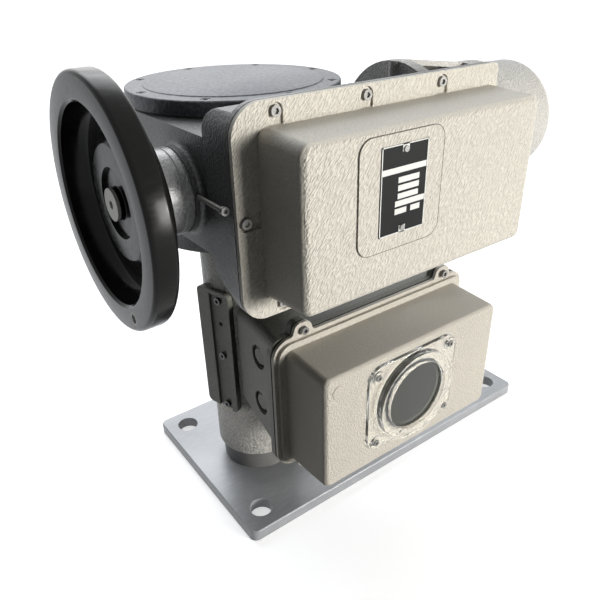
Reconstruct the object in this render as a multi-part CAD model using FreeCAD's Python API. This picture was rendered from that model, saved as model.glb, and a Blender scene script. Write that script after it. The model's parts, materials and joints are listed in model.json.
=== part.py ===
import FreeCAD, Part
import math
import os

# Electric part-turn valve actuator on a base plate, millimetres, +Z up.
# Origin: centre of the base plate's underside. X runs along the plate, -Y is the window side.

V = FreeCAD.Vector
UP = V(0, 0, 1)

# fits and clearances
RUN_FIT = 0.05          # radial, shaft in bearing across a joint
SCREW_FIT = 0.05        # radial, screw shank in its hole
END_PLAY = 0.1          # axial, between a turning shoulder and a fixed face
HOLE_OVER = 1.0         # how far a cutting tool runs past the face it opens

# socket screws: head radius and key width as shares of the thread, socket depth as a share of the head
HEAD_RATIO = 0.84
KEY_RATIO = 0.8
SOCKET_DEPTH = 0.55

# base plate and foot
PLATE_L = 450.0
PLATE_W = 240.0
PLATE_T = 14.0
PLATE_CORNER_R = 9.0
PLATE_EDGE = 1.2
MOUNT_EDGE = 28.0       # mounting hole centre to the plate's edge
MOUNT_DX = PLATE_L - 2 * MOUNT_EDGE
MOUNT_DY = PLATE_W - 2 * MOUNT_EDGE
MOUNT_HOLE_R = 13.0
COLUMN_EDGE = 86.0      # column axis to the plate's end
COL_X = COLUMN_EDGE - PLATE_L / 2
COL_R = 50.0
FOOT_R = COL_R - 5.0
FOOT_TOP = PLATE_T + 27.0
FOOT_BORE_FLOOR = PLATE_T + 5.0
FOOT_SCREW_N = 4
FOOT_SCREW_D = 8.0
FOOT_SCREW_RING = COL_R - 14.0
FOOT_SCREW_SEAT = PLATE_T - 5.2
FOOT_SCREW_END = FOOT_TOP + 15.0

# column
COL_WALL = 12.0
COL_BORE_R = COL_R - COL_WALL
COL_TOP = 333.0
COL_FLOOR_T = 18.0
COL_HEAD_T = 20.0
COL_NECK_R = 27.0
LEVER_Z = 92.0          # middle of the crank lever
WINDOW_Z0 = LEVER_Z - 30.0
WINDOW_Z1 = LEVER_Z + 30.0
WINDOW_A0 = -26.0
WINDOW_A1 = 116.0

# accessory rail on the column: t runs across it, n outward from the column's axis
RAIL_ANGLE = 195.0
RAIL_T0 = -27.3
RAIL_T1 = 20.0
RAIL_Z0 = 107.0
RAIL_Z1 = 262.0
RAIL_CORNER_R = 6.0
RAIL_SEAT = COL_R - 3.0
RAIL_FLOOR = COL_R - 0.5
RAIL_FACE = COL_R + 2.5
RAIL_KEY_HALF = math.sqrt(COL_R ** 2 - RAIL_SEAT ** 2) - 0.06
RAIL_GROOVE_A = -9.0
RAIL_GROOVE_B = 11.6
RAIL_SCREW_T = 2.5
RAIL_SCREW_D = 5.0
RAIL_SCREW_L = 10.0
RAIL_SCREW_Z = (RAIL_Z1 - 12.0, RAIL_Z1 - 82.0, RAIL_Z0 + 5.5)
RAIL_SPARE_Z = RAIL_Z1 - 41.0

# output shaft, bearings and crank lever
SHAFT_R = 20.0
SHAFT_Z0 = PLATE_T + 7.0
BUSH_R = 26.0
BUSH_Z0 = FOOT_BORE_FLOOR + 1.0
BUSH_Z1 = FOOT_TOP - 1.0
LOW_BRG_R = 34.0
LOW_BRG_Z0 = COL_TOP + 2.0
LOW_BRG_T = 15.0
COLLAR_R = 25.0
TOP_JOURNAL_R = 17.5
TOP_BRG_R = 31.0
TOP_BRG_T = 14.0
LEVER_T = 24.0
LEVER_Z0 = LEVER_Z - LEVER_T / 2
LEVER_Z1 = LEVER_Z + LEVER_T / 2
LEVER_HUB_R = 34.0
LEVER_HUB_Z0 = LEVER_Z0 - 8.0
LEVER_HUB_Z1 = LEVER_Z1 + 8.0
LEVER_REACH = 150.0
LEVER_EYE_R = 22.0
LEVER_NECK_HALF = 15.0
LEVER_PIN_R = 8.0
LEVER_SLOT = 3.0
LEVER_SCREW_D = 8.0
LEVER_SCREW_X = COL_X - SHAFT_R - 5.5
LEVER_SCREW_SEAT = -10.0
LEVER_SCREW_L = 24.0

# worm and wheel
MODULE = 3.0
WHEEL_TEETH = 40
WORM_PITCH_R = 24.0
WHEEL_PITCH_R = MODULE * WHEEL_TEETH / 2
CENTRE_DIST = WHEEL_PITCH_R + WORM_PITCH_R
WORM_Z = COL_TOP + 72.0
WORM_Y = -CENTRE_DIST
WORM_TIP_R = WORM_PITCH_R + MODULE
WORM_ROOT_R = WORM_PITCH_R - 1.2 * MODULE
WORM_PITCH = math.pi * MODULE
WORM_TURNS = 6
THREAD_HALF = 1.95
GAP_HALF = 2.7
FLANK = math.radians(20)
WHEEL_HALF_W = 14.0
WHEEL_BLANK_R = WHEEL_PITCH_R + 4.0
WHEEL_HUB_R = 32.0
COLLAR_TOP = WORM_Z - 20.0
WHEEL_HUB_TOP = WORM_Z + 20.0
SENSOR_MODULE = 2.0
SENSOR_GEAR_N = 42
SENSOR_PINION_N = 14
SENSOR_FACE_W = 10.0
SENSOR_Z0 = COLLAR_TOP - SENSOR_FACE_W - 7.0
SENSOR_ANGLE = 150.0
SENSOR_R = 12.0
SENSOR_SHAFT_R = 3.0

# gear case
CASE_R = 102.5
CASE_WALL = 16.5
CASE_TOP = WORM_Z + 49.5
CASE_FLOOR_T = 14.0
CASE_CAVITY_R = CASE_R - CASE_WALL
BLOCK_X0 = COL_X - CASE_R
BLOCK_X1 = COL_X + CASE_R
BLOCK_Y = WORM_Y - 44.0
BLOCK_Z0 = WORM_Z - 46.5
CHAMBER_R = 29.5
BLOCK_SCREW_D = 8.0
BLOCK_SCREW_X = (BLOCK_X0 + 35.5, BLOCK_X1 - 25.5)
BLOCK_SCREW_Z = (WORM_Z - 27.0, WORM_Z + 31.0)
NECK_R = 35.5
NECK_X = BLOCK_X0 - 8.5
NECK_FLARE = 5.0
LINK_R = 48.0
LINK_X = BLOCK_X1 + 26.5
COLUMN_BOLT_N = 6
COLUMN_BOLT_D = 6.0
COLUMN_BOLT_RING = COL_R - 6.0
GASKET_T = 1.5
COVER_R = CASE_R - 0.1
COVER_T = 12.6
COVER_STEP_R = CASE_CAVITY_R
COVER_STEP = 0.8
COVER_SCREW_N = 8
COVER_SCREW_D = 5.0
COVER_SCREW_RING = (CASE_R + CASE_CAVITY_R) / 2
TOP_BRG_Z0 = CASE_TOP - 13.5

# worm shaft line
WORM_BRG_R = 26.0
WORM_BRG_T = 15.0
WORM_BRG_A = NECK_X + 4.0
WORM_BRG_B = BLOCK_X1 - WORM_BRG_T - 0.5
WORM_SHAFT_R = 12.5
WORM_SHOULDER_R = 16.0
WORM_SHAFT_END = LINK_X + 40.0
CAP_X0 = NECK_X - 21.0
CAP_X1 = NECK_X - 1.5
CAP_GROOVE_R = NECK_R - 0.8
CAP_GROOVE_X = NECK_X - 8.2   # second groove, a narrow ring in front of the joint
CAP_GROOVE_W = 1.2
CAP_SCREW_D = 4.0
CAP_SCREW_RING = WORM_BRG_R + 3.5
CAP_SCREW_SEAT = NECK_X - 7.8
LOCK_SCREW_D = 4.0
LOCK_SEAT_OUT = 37.5    # head seat beyond the neck's own radius
LOCK_X = NECK_X + 3.2
LOCK_Z = WORM_Z + 3.0

# handwheel
WHEEL_BORE_R = 10.0
WHEEL_BACK = CAP_X0 - 1.0
WHEEL_FACE = WHEEL_BACK - 25.0
HUB_TIP = WHEEL_FACE - 4.5
HUB_TIP_R = 13.0
SHAFT_TIP = HUB_TIP + 0.3
WHEEL_R = 100.0
WHEEL_FRONT = WHEEL_BACK - 43.5
WHEEL_RIM_BACK = WHEEL_BACK - 23.5
DISH_X = WHEEL_BACK - 19.5     # deepest point of the dish in front
DISH_BACK = WHEEL_BACK - 11.5  # flat of the web behind
RIM_EDGE_R = 3.5
HUB_R = 20.0
WHEEL_OPEN_R = WHEEL_R - 22.0
HUB_PLATE_R = 28.5
HUB_SCREW_D = 8.0
HUB_SCREW_L = 22.0
HUB_WASHER_T = 2.5
HANDLE_RING = WHEEL_R - 11.0
HANDLE_ANGLE = 243.0
HANDLE_R = 5.5
HANDLE_BORE_R = 4.0
HANDLE_DEPTH = 14.0

# lantern and motor
LANTERN_DISC_T = 14.0
LANTERN_DISC_X = LINK_X + LANTERN_DISC_T
LANTERN_X1 = LINK_X + 107.0
LANTERN_DISC_R = 76.0
LANTERN_FLAT_Y = WORM_Y - 38.0
LANTERN_RING_R = 65.0
LANTERN_RING_T = 10.0
LANTERN_SHELL_T = 5.0
LANTERN_GAP = 1.6       # lantern's flat to the control housing
LANTERN_SILL = WORM_Z + 36.0
LANTERN_SCREW_RING = LINK_R - 10.0
LINK_SCREW_D = 6.0
MOTOR_SPIGOT_R = 45.0
MOTOR_FLANGE_X = LANTERN_X1 + 21.0
MOTOR_R = 60.0
MOTOR_CAVITY_R = MOTOR_R - 8.0
MOTOR_L = 60.0
MOTOR_END = MOTOR_FLANGE_X + MOTOR_L
MOTOR_DOME_R = 14.0
MOTOR_BRG_R = 16.0
MOTOR_BRG_T = 10.0
MOTOR_BRG_A = LANTERN_X1 + 2.0
MOTOR_BRG_B = MOTOR_END - 17.0
MOTOR_SCREW_D = 5.0
MOTOR_SCREW_RING = (MOTOR_R + MOTOR_CAVITY_R) / 2
ROTOR_SHAFT_R = 6.0
ROTOR_R = 33.5
STATOR_BORE_R = ROTOR_R + 0.5
STACK_X0 = LANTERN_X1 + 16.0
STACK_X1 = MOTOR_END - 23.0
COUPLING_R = 20.0
COUPLING_X0 = LANTERN_DISC_X + 4.0
COUPLING_X1 = COUPLING_X0 + 64.0
COUPLING_FIT = 0.02

# control housing and its cover
CTRL_X0 = BLOCK_X0 - 1.5
CTRL_X1 = CTRL_X0 + 278.4
CTRL_Z0 = WORM_Z - 91.0
CTRL_Z1 = WORM_Z + 78.5
CTRL_CORNER = 25.0
CTRL_FRONT = BLOCK_Y - 37.0
CTRL_RIM_T = 5.0
CTRL_BODY_TOP = CTRL_Z1 - 7.0
CTRL_SEAL_T = 1.0
CTRL_FLANGE_T = 4.0
CTRL_SEAL_Y = CTRL_FRONT - CTRL_SEAL_T
CTRL_FACE_Y = CTRL_SEAL_Y - CTRL_FLANGE_T
CTRL_BOX_X0 = CTRL_X0 + 20.5
CTRL_BOX_X1 = CTRL_X1 - 1.9
CTRL_BOX_Z0 = CTRL_Z0 + 16.0
CTRL_BOX_Z1 = CTRL_Z1 - 18.0
CTRL_BOX_Y = CTRL_FACE_Y - 49.7
CTRL_DRAFT = 2.5
CTRL_WALL = 4.0
CTRL_BOX_R = 9.0
CTRL_SCREW_D = 5.0
CTRL_SCREW_L = 12.0
CTRL_HEAD_H = 3.2
CTRL_POCKET = 2.0
CTRL_POCKET_R = 6.3
CTRL_SCREW_X = (CTRL_X0 + 37.4, CTRL_X0 + 122.4, CTRL_X0 + 206.2)
CTRL_SCREW_ZT = CTRL_Z1 - 8.4
CTRL_SCREW_ZB = CTRL_Z0 + 8.4
CTRL_SIDE_X = CTRL_X0 + 7.7
CTRL_SIDE_Z = WORM_Z - 7.0
CTRL_BOSS_R = 6.5
CTRL_BOSS_L = 15.0
CAVITY_X0 = CTRL_X0 + 25.0
CAVITY_X1 = CTRL_X1 - 8.4
CAVITY_Z0 = CTRL_Z0 + 38.0
CAVITY_Z1 = CTRL_BODY_TOP - 12.5
PAD_RISE = 1.0
PAD_LEFT = 20.5         # pad beyond the data plate on each side
PAD_RIGHT = 18.0
PAD_BELOW = 12.5
PAD_ABOVE = 8.5
LABEL_X0 = CTRL_BOX_X0 + 71.5
LABEL_W = 47.0
LABEL_Z0 = CTRL_BOX_Z0 + 50.5
LABEL_H = 69.0
LABEL_T = 0.8
PIN_INSET = 4.0
BOARD_Y = BLOCK_Y - 20.0
BOARD_T = 1.6
BOARD_X0 = CAVITY_X0 + 6.0
BOARD_X1 = CAVITY_X1 - 27.0
BOARD_Z0 = CAVITY_Z0 + 4.0
BOARD_Z1 = CAVITY_Z1 - 4.0
POST_R = 5.0

# terminal housing, its cover and the window
TERM_BACK = 10.0 - COL_R
TERM_FRONT = TERM_BACK - 79.0
TERM_FLANGE_T = 7.0
TERM_SEAL_T = 2.0
TERM_SEAL_Y = TERM_FRONT - TERM_SEAL_T
TERM_LIP_Y = TERM_SEAL_Y - 3.8
TERM_LID_Y = TERM_SEAL_Y - 7.7
TERM_LID_FRONT = TERM_LID_Y - 58.3
TERM_X0 = COL_X - COL_R - 1.0
TERM_X1 = TERM_X0 + 262.0
TERM_Z0 = 94.0
TERM_Z1 = 250.5
TERM_CORNER_R = 19.5
TERM_CORNER_RIGHT = 14.0
TERM_WALL = 6.0
SADDLE_T = 7.0          # wall of the saddle round the column
TERM_LID_WALL = 5.0
TERM_LIP = 4.0          # width of the thin outer lip of the cover's flange
EAR_X = (TERM_X0 + 35.7, TERM_X1 - 31.5)
EAR_R = 8.0
EAR_OUT = 4.5
EAR_BASE = 12.5         # half width of an ear where it leaves the flange
EAR_TOP = 8.5
EAR_ROOT_R = 3.5
EAR_SCREW_D = 5.0
PLUG_Y = TERM_FRONT + 32.0
PLUG_Z = (TERM_Z0 + 63.0, TERM_Z0 + 121.0)
PLUG_R = 13.5
PLUG_X = TERM_X0 + 7.5
PLUG_T = 6.5
PLUG_GROOVE = (9.0, 12.6, 3.5)   # inner radius, outer radius, depth
HOUSING_BOLT_D = 8.0
HOUSING_BOLT_Z = (TERM_Z0 + 51.0, TERM_Z0 + 91.0, TERM_Z0 + 131.0)
VIEW_X = TERM_X0 + 124.0
VIEW_Z = TERM_Z0 + 84.0
VIEW_HALF_X = 60.0
VIEW_HALF_Z = 50.5
VIEW_CORNER = 16.0
VIEW_T = 4.0
VIEW_RING_R = 49.4
VIEW_RING_Y = TERM_LID_FRONT - 12.0
VIEW_GLASS_R = 38.0
VIEW_LEDGE_R = VIEW_GLASS_R - 3.0
VIEW_HOLE_R = VIEW_GLASS_R + 2.0
VIEW_SCREW_D = 4.0
VIEW_SCREW_INSET = 10.5
VIEW_BOSS_R = 7.0
VIEW_BOSS_T = 1.5
MARK_R = 7.5
MARK_X = TERM_X0 + 30.0
MARK_Z = TERM_Z0 + 125.0


def cyl(r, a, b):
    d = b - a
    return Part.makeCylinder(r, d.Length, a, d)


def xcyl(r, x0, x1, y=WORM_Y, z=WORM_Z):
    return cyl(r, V(x0, y, z), V(x1, y, z))


def ycyl(r, x, z, y0, y1):
    return cyl(r, V(x, y0, z), V(x, y1, z))


def zcyl(r, z0, z1, x=COL_X, y=0.0):
    return cyl(r, V(x, y, z0), V(x, y, z1))


def box(x0, x1, y0, y1, z0, z1):
    return Part.makeBox(x1 - x0, y1 - y0, z1 - z0, V(x0, y0, z0))


def fuse(shapes):
    first = shapes[0]
    if len(shapes) > 1:
        first = first.multiFuse(shapes[1:])
    return first.removeSplitter()


def cut(shape, tools):
    return shape.cut(Part.makeCompound(tools)) if len(tools) > 1 else shape.cut(tools[0])


def ring_points(n, radius, start=0.0, cx=COL_X, cy=0.0):
    out = []
    for i in range(n):
        a = math.radians(start + 360.0 * i / n)
        out.append((cx + radius * math.cos(a), cy + radius * math.sin(a)))
    return out


def rounded_wire(pts, place):
    """Closed outline through (u, v, radius) corners; place turns (u, v) into a point."""
    corners = []
    n = len(pts)
    for i in range(n):
        u, v, r = pts[i]
        pu, pv = pts[i - 1][0], pts[i - 1][1]
        nu, nv = pts[(i + 1) % n][0], pts[(i + 1) % n][1]
        a = V(pu - u, pv - v, 0).normalize()
        b = V(nu - u, nv - v, 0).normalize()
        p = V(u, v, 0)
        if r <= 0:
            corners.append((p, None, p))
            continue
        half = math.acos(max(-1.0, min(1.0, a.dot(b)))) / 2
        back = r / math.tan(half)
        m = (a + b).normalize()
        corners.append((p + a * back, p + m * (r / math.sin(half) - r), p + b * back))
    edges = []
    for i in range(n):
        p1, pm, p2 = corners[i]
        if pm is not None:
            arc = Part.Arc(place(p1.x, p1.y), place(pm.x, pm.y), place(p2.x, p2.y))
            edges.append(arc.toShape())
        q = corners[(i + 1) % n][0]
        if (q - p2).Length > 1e-6:
            edges.append(Part.makeLine(place(p2.x, p2.y), place(q.x, q.y)))
    return Part.Wire(edges)


def rect_wire(x0, x1, z0, z1, y, r):
    pts = [(x0, z0, r), (x1, z0, r), (x1, z1, r), (x0, z1, r)]
    return rounded_wire(pts, lambda u, v: V(u, y, v))


def xz_prism(pts, y0, y1):
    wire = rounded_wire(pts, lambda u, v: V(u, y0, v))
    return Part.Face(wire).extrude(V(0, y1 - y0, 0))


def xz_block(x0, x1, z0, z1, y0, y1, r):
    return xz_prism([(x0, z0, r), (x1, z0, r), (x1, z1, r), (x0, z1, r)], y0, y1)


def taper_block(back, front, r):
    """Solid between two rounded rectangles given as (x0, x1, z0, z1, y)."""
    wires = []
    for x0, x1, z0, z1, y in (back, front):
        wires.append(rect_wire(x0, x1, z0, z1, y, r))
    return Part.makeLoft(wires, True, True)


def lathe_x(pts, y=WORM_Y, z=WORM_Z):
    """Solid of revolution about the worm line from (x, radius, corner) points."""
    wire = rounded_wire(pts, lambda u, v: V(u, y, z + v))
    return Part.Face(wire).revolve(V(0, y, z), V(1, 0, 0), 360)


def lathe_z(pts, x=COL_X, y=0.0):
    wire = rounded_wire(pts, lambda u, v: V(x + u, y, v))
    return Part.Face(wire).revolve(V(x, y, 0), UP, 360)


def hexagon(across, at, direction, depth):
    d = V(direction).normalize()
    side = d.cross(UP)
    if side.Length < 0.1:
        side = V(1, 0, 0)
    side.normalize()
    other = d.cross(side)
    r = across / math.sqrt(3)
    pts = []
    for i in range(7):
        a = math.radians(60 * i)
        pts.append(at + side * (r * math.cos(a)) + other * (r * math.sin(a)))
    return Part.Face(Part.makePolygon(pts)).extrude(d * depth)


def cap_screw(seat, direction, size, length, head_h=None):
    """Socket head screw: seat is the point under the head, direction points into the thread."""
    d = V(direction).normalize()
    high = size if head_h is None else head_h
    head = cyl(HEAD_RATIO * size, seat, seat - d * high)
    socket = hexagon(KEY_RATIO * size, seat - d * high, d, SOCKET_DEPTH * high)
    shank = cyl(size / 2, seat, seat + d * length)
    return fuse([head, shank]).cut(socket)


def flat_screw(seat, direction, size, length, head_r):
    """Countersunk socket screw: seat is the middle of its flat face."""
    d = V(direction).normalize()
    head = Part.makeCone(head_r, size / 2, head_r - size / 2, seat, d)
    socket = hexagon(KEY_RATIO * size, seat, d, SOCKET_DEPTH * size)
    return fuse([head, cyl(size / 2, seat + d, seat + d * length)]).cut(socket)


def screw_hole(seat, direction, size, length):
    d = V(direction).normalize()
    return cyl(size / 2.0 + SCREW_FIT, seat - d * 0.5, seat + d * (length + 0.5))


def tube_z(r_out, r_in, z0, z1):
    return zcyl(r_out, z0, z1).cut(zcyl(r_in, z0, z1))


def tube_x(r_out, r_in, x0, x1):
    return xcyl(r_out, x0, x1).cut(xcyl(r_in, x0, x1))


def foot_seats():
    return [V(x, y, FOOT_SCREW_SEAT) for x, y in ring_points(FOOT_SCREW_N, FOOT_SCREW_RING, 45)]


def foot_hole(seat, z0, z1):
    return zcyl(FOOT_SCREW_D / 2 + SCREW_FIT, z0, z1, seat.x, seat.y)


def make_base_plate():
    half_l = PLATE_L / 2
    half_w = PLATE_W / 2
    corners = [(-half_l, -half_w), (half_l, -half_w), (half_l, half_w), (-half_l, half_w)]
    wire = rounded_wire([(x, y, PLATE_CORNER_R) for x, y in corners], lambda u, v: V(u, v, 0))
    plate = Part.Face(wire).extrude(V(0, 0, PLATE_T))
    top = [e for e in plate.Edges if e.BoundBox.ZMin > PLATE_T - 0.01]
    plate = plate.makeChamfer(PLATE_EDGE, top)
    tools = []
    for sx in (-0.5, 0.5):
        for sy in (-0.5, 0.5):
            tools.append(zcyl(MOUNT_HOLE_R, -HOLE_OVER, PLATE_T + HOLE_OVER, sx * MOUNT_DX, sy * MOUNT_DY))
    for seat in foot_seats():
        tools.append(zcyl(0.9 * FOOT_SCREW_D, -HOLE_OVER, seat.z, seat.x, seat.y))
        tools.append(foot_hole(seat, -HOLE_OVER, PLATE_T + HOLE_OVER))
    return cut(plate, tools)


def make_column_foot():
    body = zcyl(FOOT_R, PLATE_T, FOOT_TOP)
    tools = [zcyl(BUSH_R, FOOT_BORE_FLOOR, FOOT_TOP + HOLE_OVER)]
    tools += [foot_hole(s, PLATE_T - HOLE_OVER, FOOT_TOP + HOLE_OVER) for s in foot_seats()]
    return cut(body, tools)


def make_foot_screws():
    return [cap_screw(s, UP, FOOT_SCREW_D, FOOT_SCREW_END - s.z) for s in foot_seats()]


def rail_point(t, n, z):
    a = math.radians(RAIL_ANGLE)
    out = V(math.cos(a), math.sin(a), 0)
    side = V(-math.sin(a), math.cos(a), 0)
    return V(COL_X, 0, z) + out * n + side * t


def rail_block(t0, t1, n0, n1, z0, z1, r=0.0):
    """Block on the rail's own axes, with its four corners rounded as seen along n."""
    corners = [(t0, z0, r), (t1, z0, r), (t1, z1, r), (t0, z1, r)]
    wire = rounded_wire(corners, lambda t, z: rail_point(t, n0, z))
    return Part.Face(wire).extrude(rail_point(0, n1, 0) - rail_point(0, n0, 0))


def sector(r, z0, z1, a0, a1):
    """Pie slice about the column axis from angle a0 to a1 in degrees."""
    mid = math.radians((a0 + a1) / 2)
    lo = math.radians(a0)
    hi = math.radians(a1)
    c = V(COL_X, 0, z0)
    p0 = c + V(math.cos(lo), math.sin(lo), 0) * r
    pm = c + V(math.cos(mid), math.sin(mid), 0) * r
    p1 = c + V(math.cos(hi), math.sin(hi), 0) * r
    wire = Part.Wire([Part.makeLine(c, p0), Part.Arc(p0, pm, p1).toShape(), Part.makeLine(p1, c)])
    return Part.Face(wire).extrude(V(0, 0, z1 - z0))


def rail_seats():
    return [rail_point(RAIL_SCREW_T, RAIL_FLOOR, z) for z in RAIL_SCREW_Z]


def rail_holes():
    """Screw holes and the spare hole, through the rail and into the column."""
    inward = rail_point(0, 0, 0) - rail_point(0, 1, 0)
    seats = rail_seats() + [rail_point(RAIL_SCREW_T, RAIL_FLOOR, RAIL_SPARE_Z)]
    return [screw_hole(s, inward, RAIL_SCREW_D, RAIL_SCREW_L) for s in seats]


def column_blank():
    body = zcyl(COL_R, FOOT_TOP, COL_TOP)
    bore = zcyl(COL_BORE_R, FOOT_TOP + COL_FLOOR_T, COL_TOP - COL_HEAD_T)
    neck = zcyl(COL_NECK_R, FOOT_TOP - HOLE_OVER, COL_TOP + HOLE_OVER)
    seat = rail_block(RAIL_T0, RAIL_T1, RAIL_SEAT, COL_R + 5, RAIL_Z0, RAIL_Z1)
    return body.cut(fuse([bore, neck])).cut(seat)


def housing_seats():
    return [V(COL_X, TERM_BACK - 20.0, z) for z in HOUSING_BOLT_Z]


def make_column():
    tools = [sector(COL_R + 10, WINDOW_Z0, WINDOW_Z1, WINDOW_A0, WINDOW_A1)]
    tools += [foot_hole(s, FOOT_TOP - HOLE_OVER, FOOT_SCREW_END + 0.5) for s in foot_seats()]
    tools += rail_holes()
    for x, y in ring_points(COLUMN_BOLT_N, COLUMN_BOLT_RING):
        tools.append(zcyl(COLUMN_BOLT_D / 2 + SCREW_FIT, COL_TOP - COL_HEAD_T + 1, COL_TOP + HOLE_OVER, x, y))
    tools += [screw_hole(s, V(0, 1, 0), HOUSING_BOLT_D, 20) for s in housing_seats()]
    return cut(column_blank(), tools)


def make_column_rail():
    over = RAIL_Z1 - RAIL_Z0
    body = rail_block(RAIL_T0, RAIL_T1, 30, RAIL_FACE, RAIL_Z0, RAIL_Z1, RAIL_CORNER_R)
    seat = rail_block(RAIL_T0 - 1, RAIL_T1 + 1, RAIL_SEAT, COL_R + 5, RAIL_Z0 - over, RAIL_Z1 + over)
    body = body.cut(zcyl(COL_R, RAIL_Z0 - 1, RAIL_Z1 + 1).cut(seat))
    body = body.cut(rail_block(-RAIL_KEY_HALF, RAIL_KEY_HALF, 20, RAIL_SEAT, RAIL_Z0 - over, RAIL_Z1 + over))
    groove = rail_block(RAIL_GROOVE_A, RAIL_GROOVE_B, RAIL_FLOOR, RAIL_FACE + 1, RAIL_Z0 - over, RAIL_Z1 - 5)
    body = cut(body, [groove] + rail_holes())
    return max(body.Solids, key=lambda s: s.Volume)


def make_rail_screws():
    inward = rail_point(0, 0, 0) - rail_point(0, 1, 0)
    return [cap_screw(s, inward, RAIL_SCREW_D, RAIL_SCREW_L, 3.0) for s in rail_seats()]


def make_lower_bush():
    return tube_z(BUSH_R, SHAFT_R + RUN_FIT, BUSH_Z0, BUSH_Z1)


def cover_seats():
    z = CASE_TOP + GASKET_T + COVER_T - COVER_SCREW_D - 0.4
    return [V(x, y, z) for x, y in ring_points(COVER_SCREW_N, COVER_SCREW_RING)]


def around_worm(n, radius, start, x):
    """Points on a circle about the worm line, at one X."""
    out = []
    for i in range(n):
        a = math.radians(start + 360.0 * i / n)
        out.append(V(x, WORM_Y + radius * math.cos(a), WORM_Z + radius * math.sin(a)))
    return out


def cap_seats():
    return around_worm(4, CAP_SCREW_RING, 45, CAP_SCREW_SEAT)


def link_seats():
    return around_worm(4, LANTERN_SCREW_RING, 45, LANTERN_DISC_X)


def block_seats():
    return [V(x, BLOCK_Y - 6.0, z) for x in BLOCK_SCREW_X for z in BLOCK_SCREW_Z]


def lock_seat():
    return V(LOCK_X, WORM_Y - NECK_R - LOCK_SEAT_OUT, LOCK_Z)


def case_block():
    """Worm block and the drum behind it as one prism, so the flat ends run into the round back."""
    a = V(BLOCK_X0, BLOCK_Y, BLOCK_Z0)
    b = V(BLOCK_X0, 0, BLOCK_Z0)
    c = V(BLOCK_X1, 0, BLOCK_Z0)
    d = V(BLOCK_X1, BLOCK_Y, BLOCK_Z0)
    back = Part.Arc(b, V(COL_X, CASE_R, BLOCK_Z0), c).toShape()
    wire = Part.Wire([Part.makeLine(a, b), back, Part.makeLine(c, d), Part.makeLine(d, a)])
    return Part.Face(wire).extrude(V(0, 0, CASE_TOP - BLOCK_Z0))


def neck_flare():
    """Concave root of the neck, where the casting runs into the case's flat end."""
    r = NECK_FLARE
    pts = [(BLOCK_X0 + 1, NECK_R - 3, 0), (BLOCK_X0 - r - 1, NECK_R - 3, 0), (BLOCK_X0 - r - 1, NECK_R, 0),
           (BLOCK_X0, NECK_R, r), (BLOCK_X0, NECK_R + r + 1, 0), (BLOCK_X0 + 1, NECK_R + r + 1, 0)]
    return lathe_x(pts)


def make_gear_case():
    drum = zcyl(CASE_R, COL_TOP, BLOCK_Z0)
    neck = xcyl(NECK_R, NECK_X, BLOCK_X0 + 1)
    within = box(BLOCK_X1 - 50, LINK_X + 10, BLOCK_Y, 0, BLOCK_Z0 - 60, CASE_TOP + 50)
    link = xcyl(LINK_R, BLOCK_X1 - 30, LINK_X).common(within)
    body = fuse([drum, case_block(), neck, neck_flare(), link])
    floor_z = COL_TOP + CASE_FLOOR_T
    cavity = zcyl(CASE_CAVITY_R, floor_z, CASE_TOP + HOLE_OVER)
    body = body.cut(fuse([cavity, xcyl(CHAMBER_R, WORM_BRG_A + WORM_BRG_T, WORM_BRG_B)]))
    boss = zcyl(LOW_BRG_R + 4.5, floor_z - 2, LOW_BRG_Z0 + LOW_BRG_T + 2)
    body = fuse([body, boss])
    shaft_bore = [zcyl(LOW_BRG_R, LOW_BRG_Z0, LOW_BRG_Z0 + LOW_BRG_T + 3)]
    shaft_bore.append(zcyl(SHAFT_R + 4, COL_TOP - HOLE_OVER, LOW_BRG_Z0 + 1))
    worm_bore = [xcyl(WORM_BRG_R, WORM_BRG_B - HOLE_OVER, WORM_BRG_B + WORM_BRG_T)]
    worm_bore.append(xcyl(WORM_SHOULDER_R, WORM_BRG_B + WORM_BRG_T - HOLE_OVER, LINK_X + HOLE_OVER))
    near_bore = xcyl(WORM_BRG_R, NECK_X - HOLE_OVER, WORM_BRG_A + WORM_BRG_T + HOLE_OVER)
    body = body.cut(fuse(shaft_bore)).cut(near_bore)
    return cut(body.cut(fuse(worm_bore)), gear_case_holes())


def gear_case_holes():
    holes = []
    for x, y in ring_points(COLUMN_BOLT_N, COLUMN_BOLT_RING):
        holes.append(zcyl(COLUMN_BOLT_D / 2 + SCREW_FIT, COL_TOP - HOLE_OVER, COL_TOP + CASE_FLOOR_T + 1, x, y))
    for s in cover_seats():
        holes.append(zcyl(COVER_SCREW_D / 2 + SCREW_FIT, CASE_TOP - 14, CASE_TOP + HOLE_OVER, s.x, s.y))
    for s in cap_seats():
        holes.append(xcyl(CAP_SCREW_D / 2 + SCREW_FIT, NECK_X - HOLE_OVER, NECK_X + 9, s.y, s.z))
    for s in link_seats():
        holes.append(xcyl(LINK_SCREW_D / 2 + SCREW_FIT, LINK_X - 17, LINK_X + HOLE_OVER, s.y, s.z))
    for s in block_seats():
        holes.append(ycyl(BLOCK_SCREW_D / 2 + SCREW_FIT, s.x, s.z, BLOCK_Y - HOLE_OVER, BLOCK_Y + 13))
    s = lock_seat()
    y = WORM_Y - NECK_R
    holes.append(ycyl(LOCK_SCREW_D / 2 + SCREW_FIT, s.x, s.z, y - HOLE_OVER, WORM_Y - WORM_BRG_R - 2))
    return holes


def make_column_bolts():
    z = COL_TOP + CASE_FLOOR_T
    length = CASE_FLOOR_T + COL_HEAD_T - 2
    pts = ring_points(COLUMN_BOLT_N, COLUMN_BOLT_RING)
    return [cap_screw(V(x, y, z), -UP, COLUMN_BOLT_D, length) for x, y in pts]


def make_output_bearing_lower():
    return tube_z(LOW_BRG_R, SHAFT_R + RUN_FIT, LOW_BRG_Z0, LOW_BRG_Z0 + LOW_BRG_T)


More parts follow.
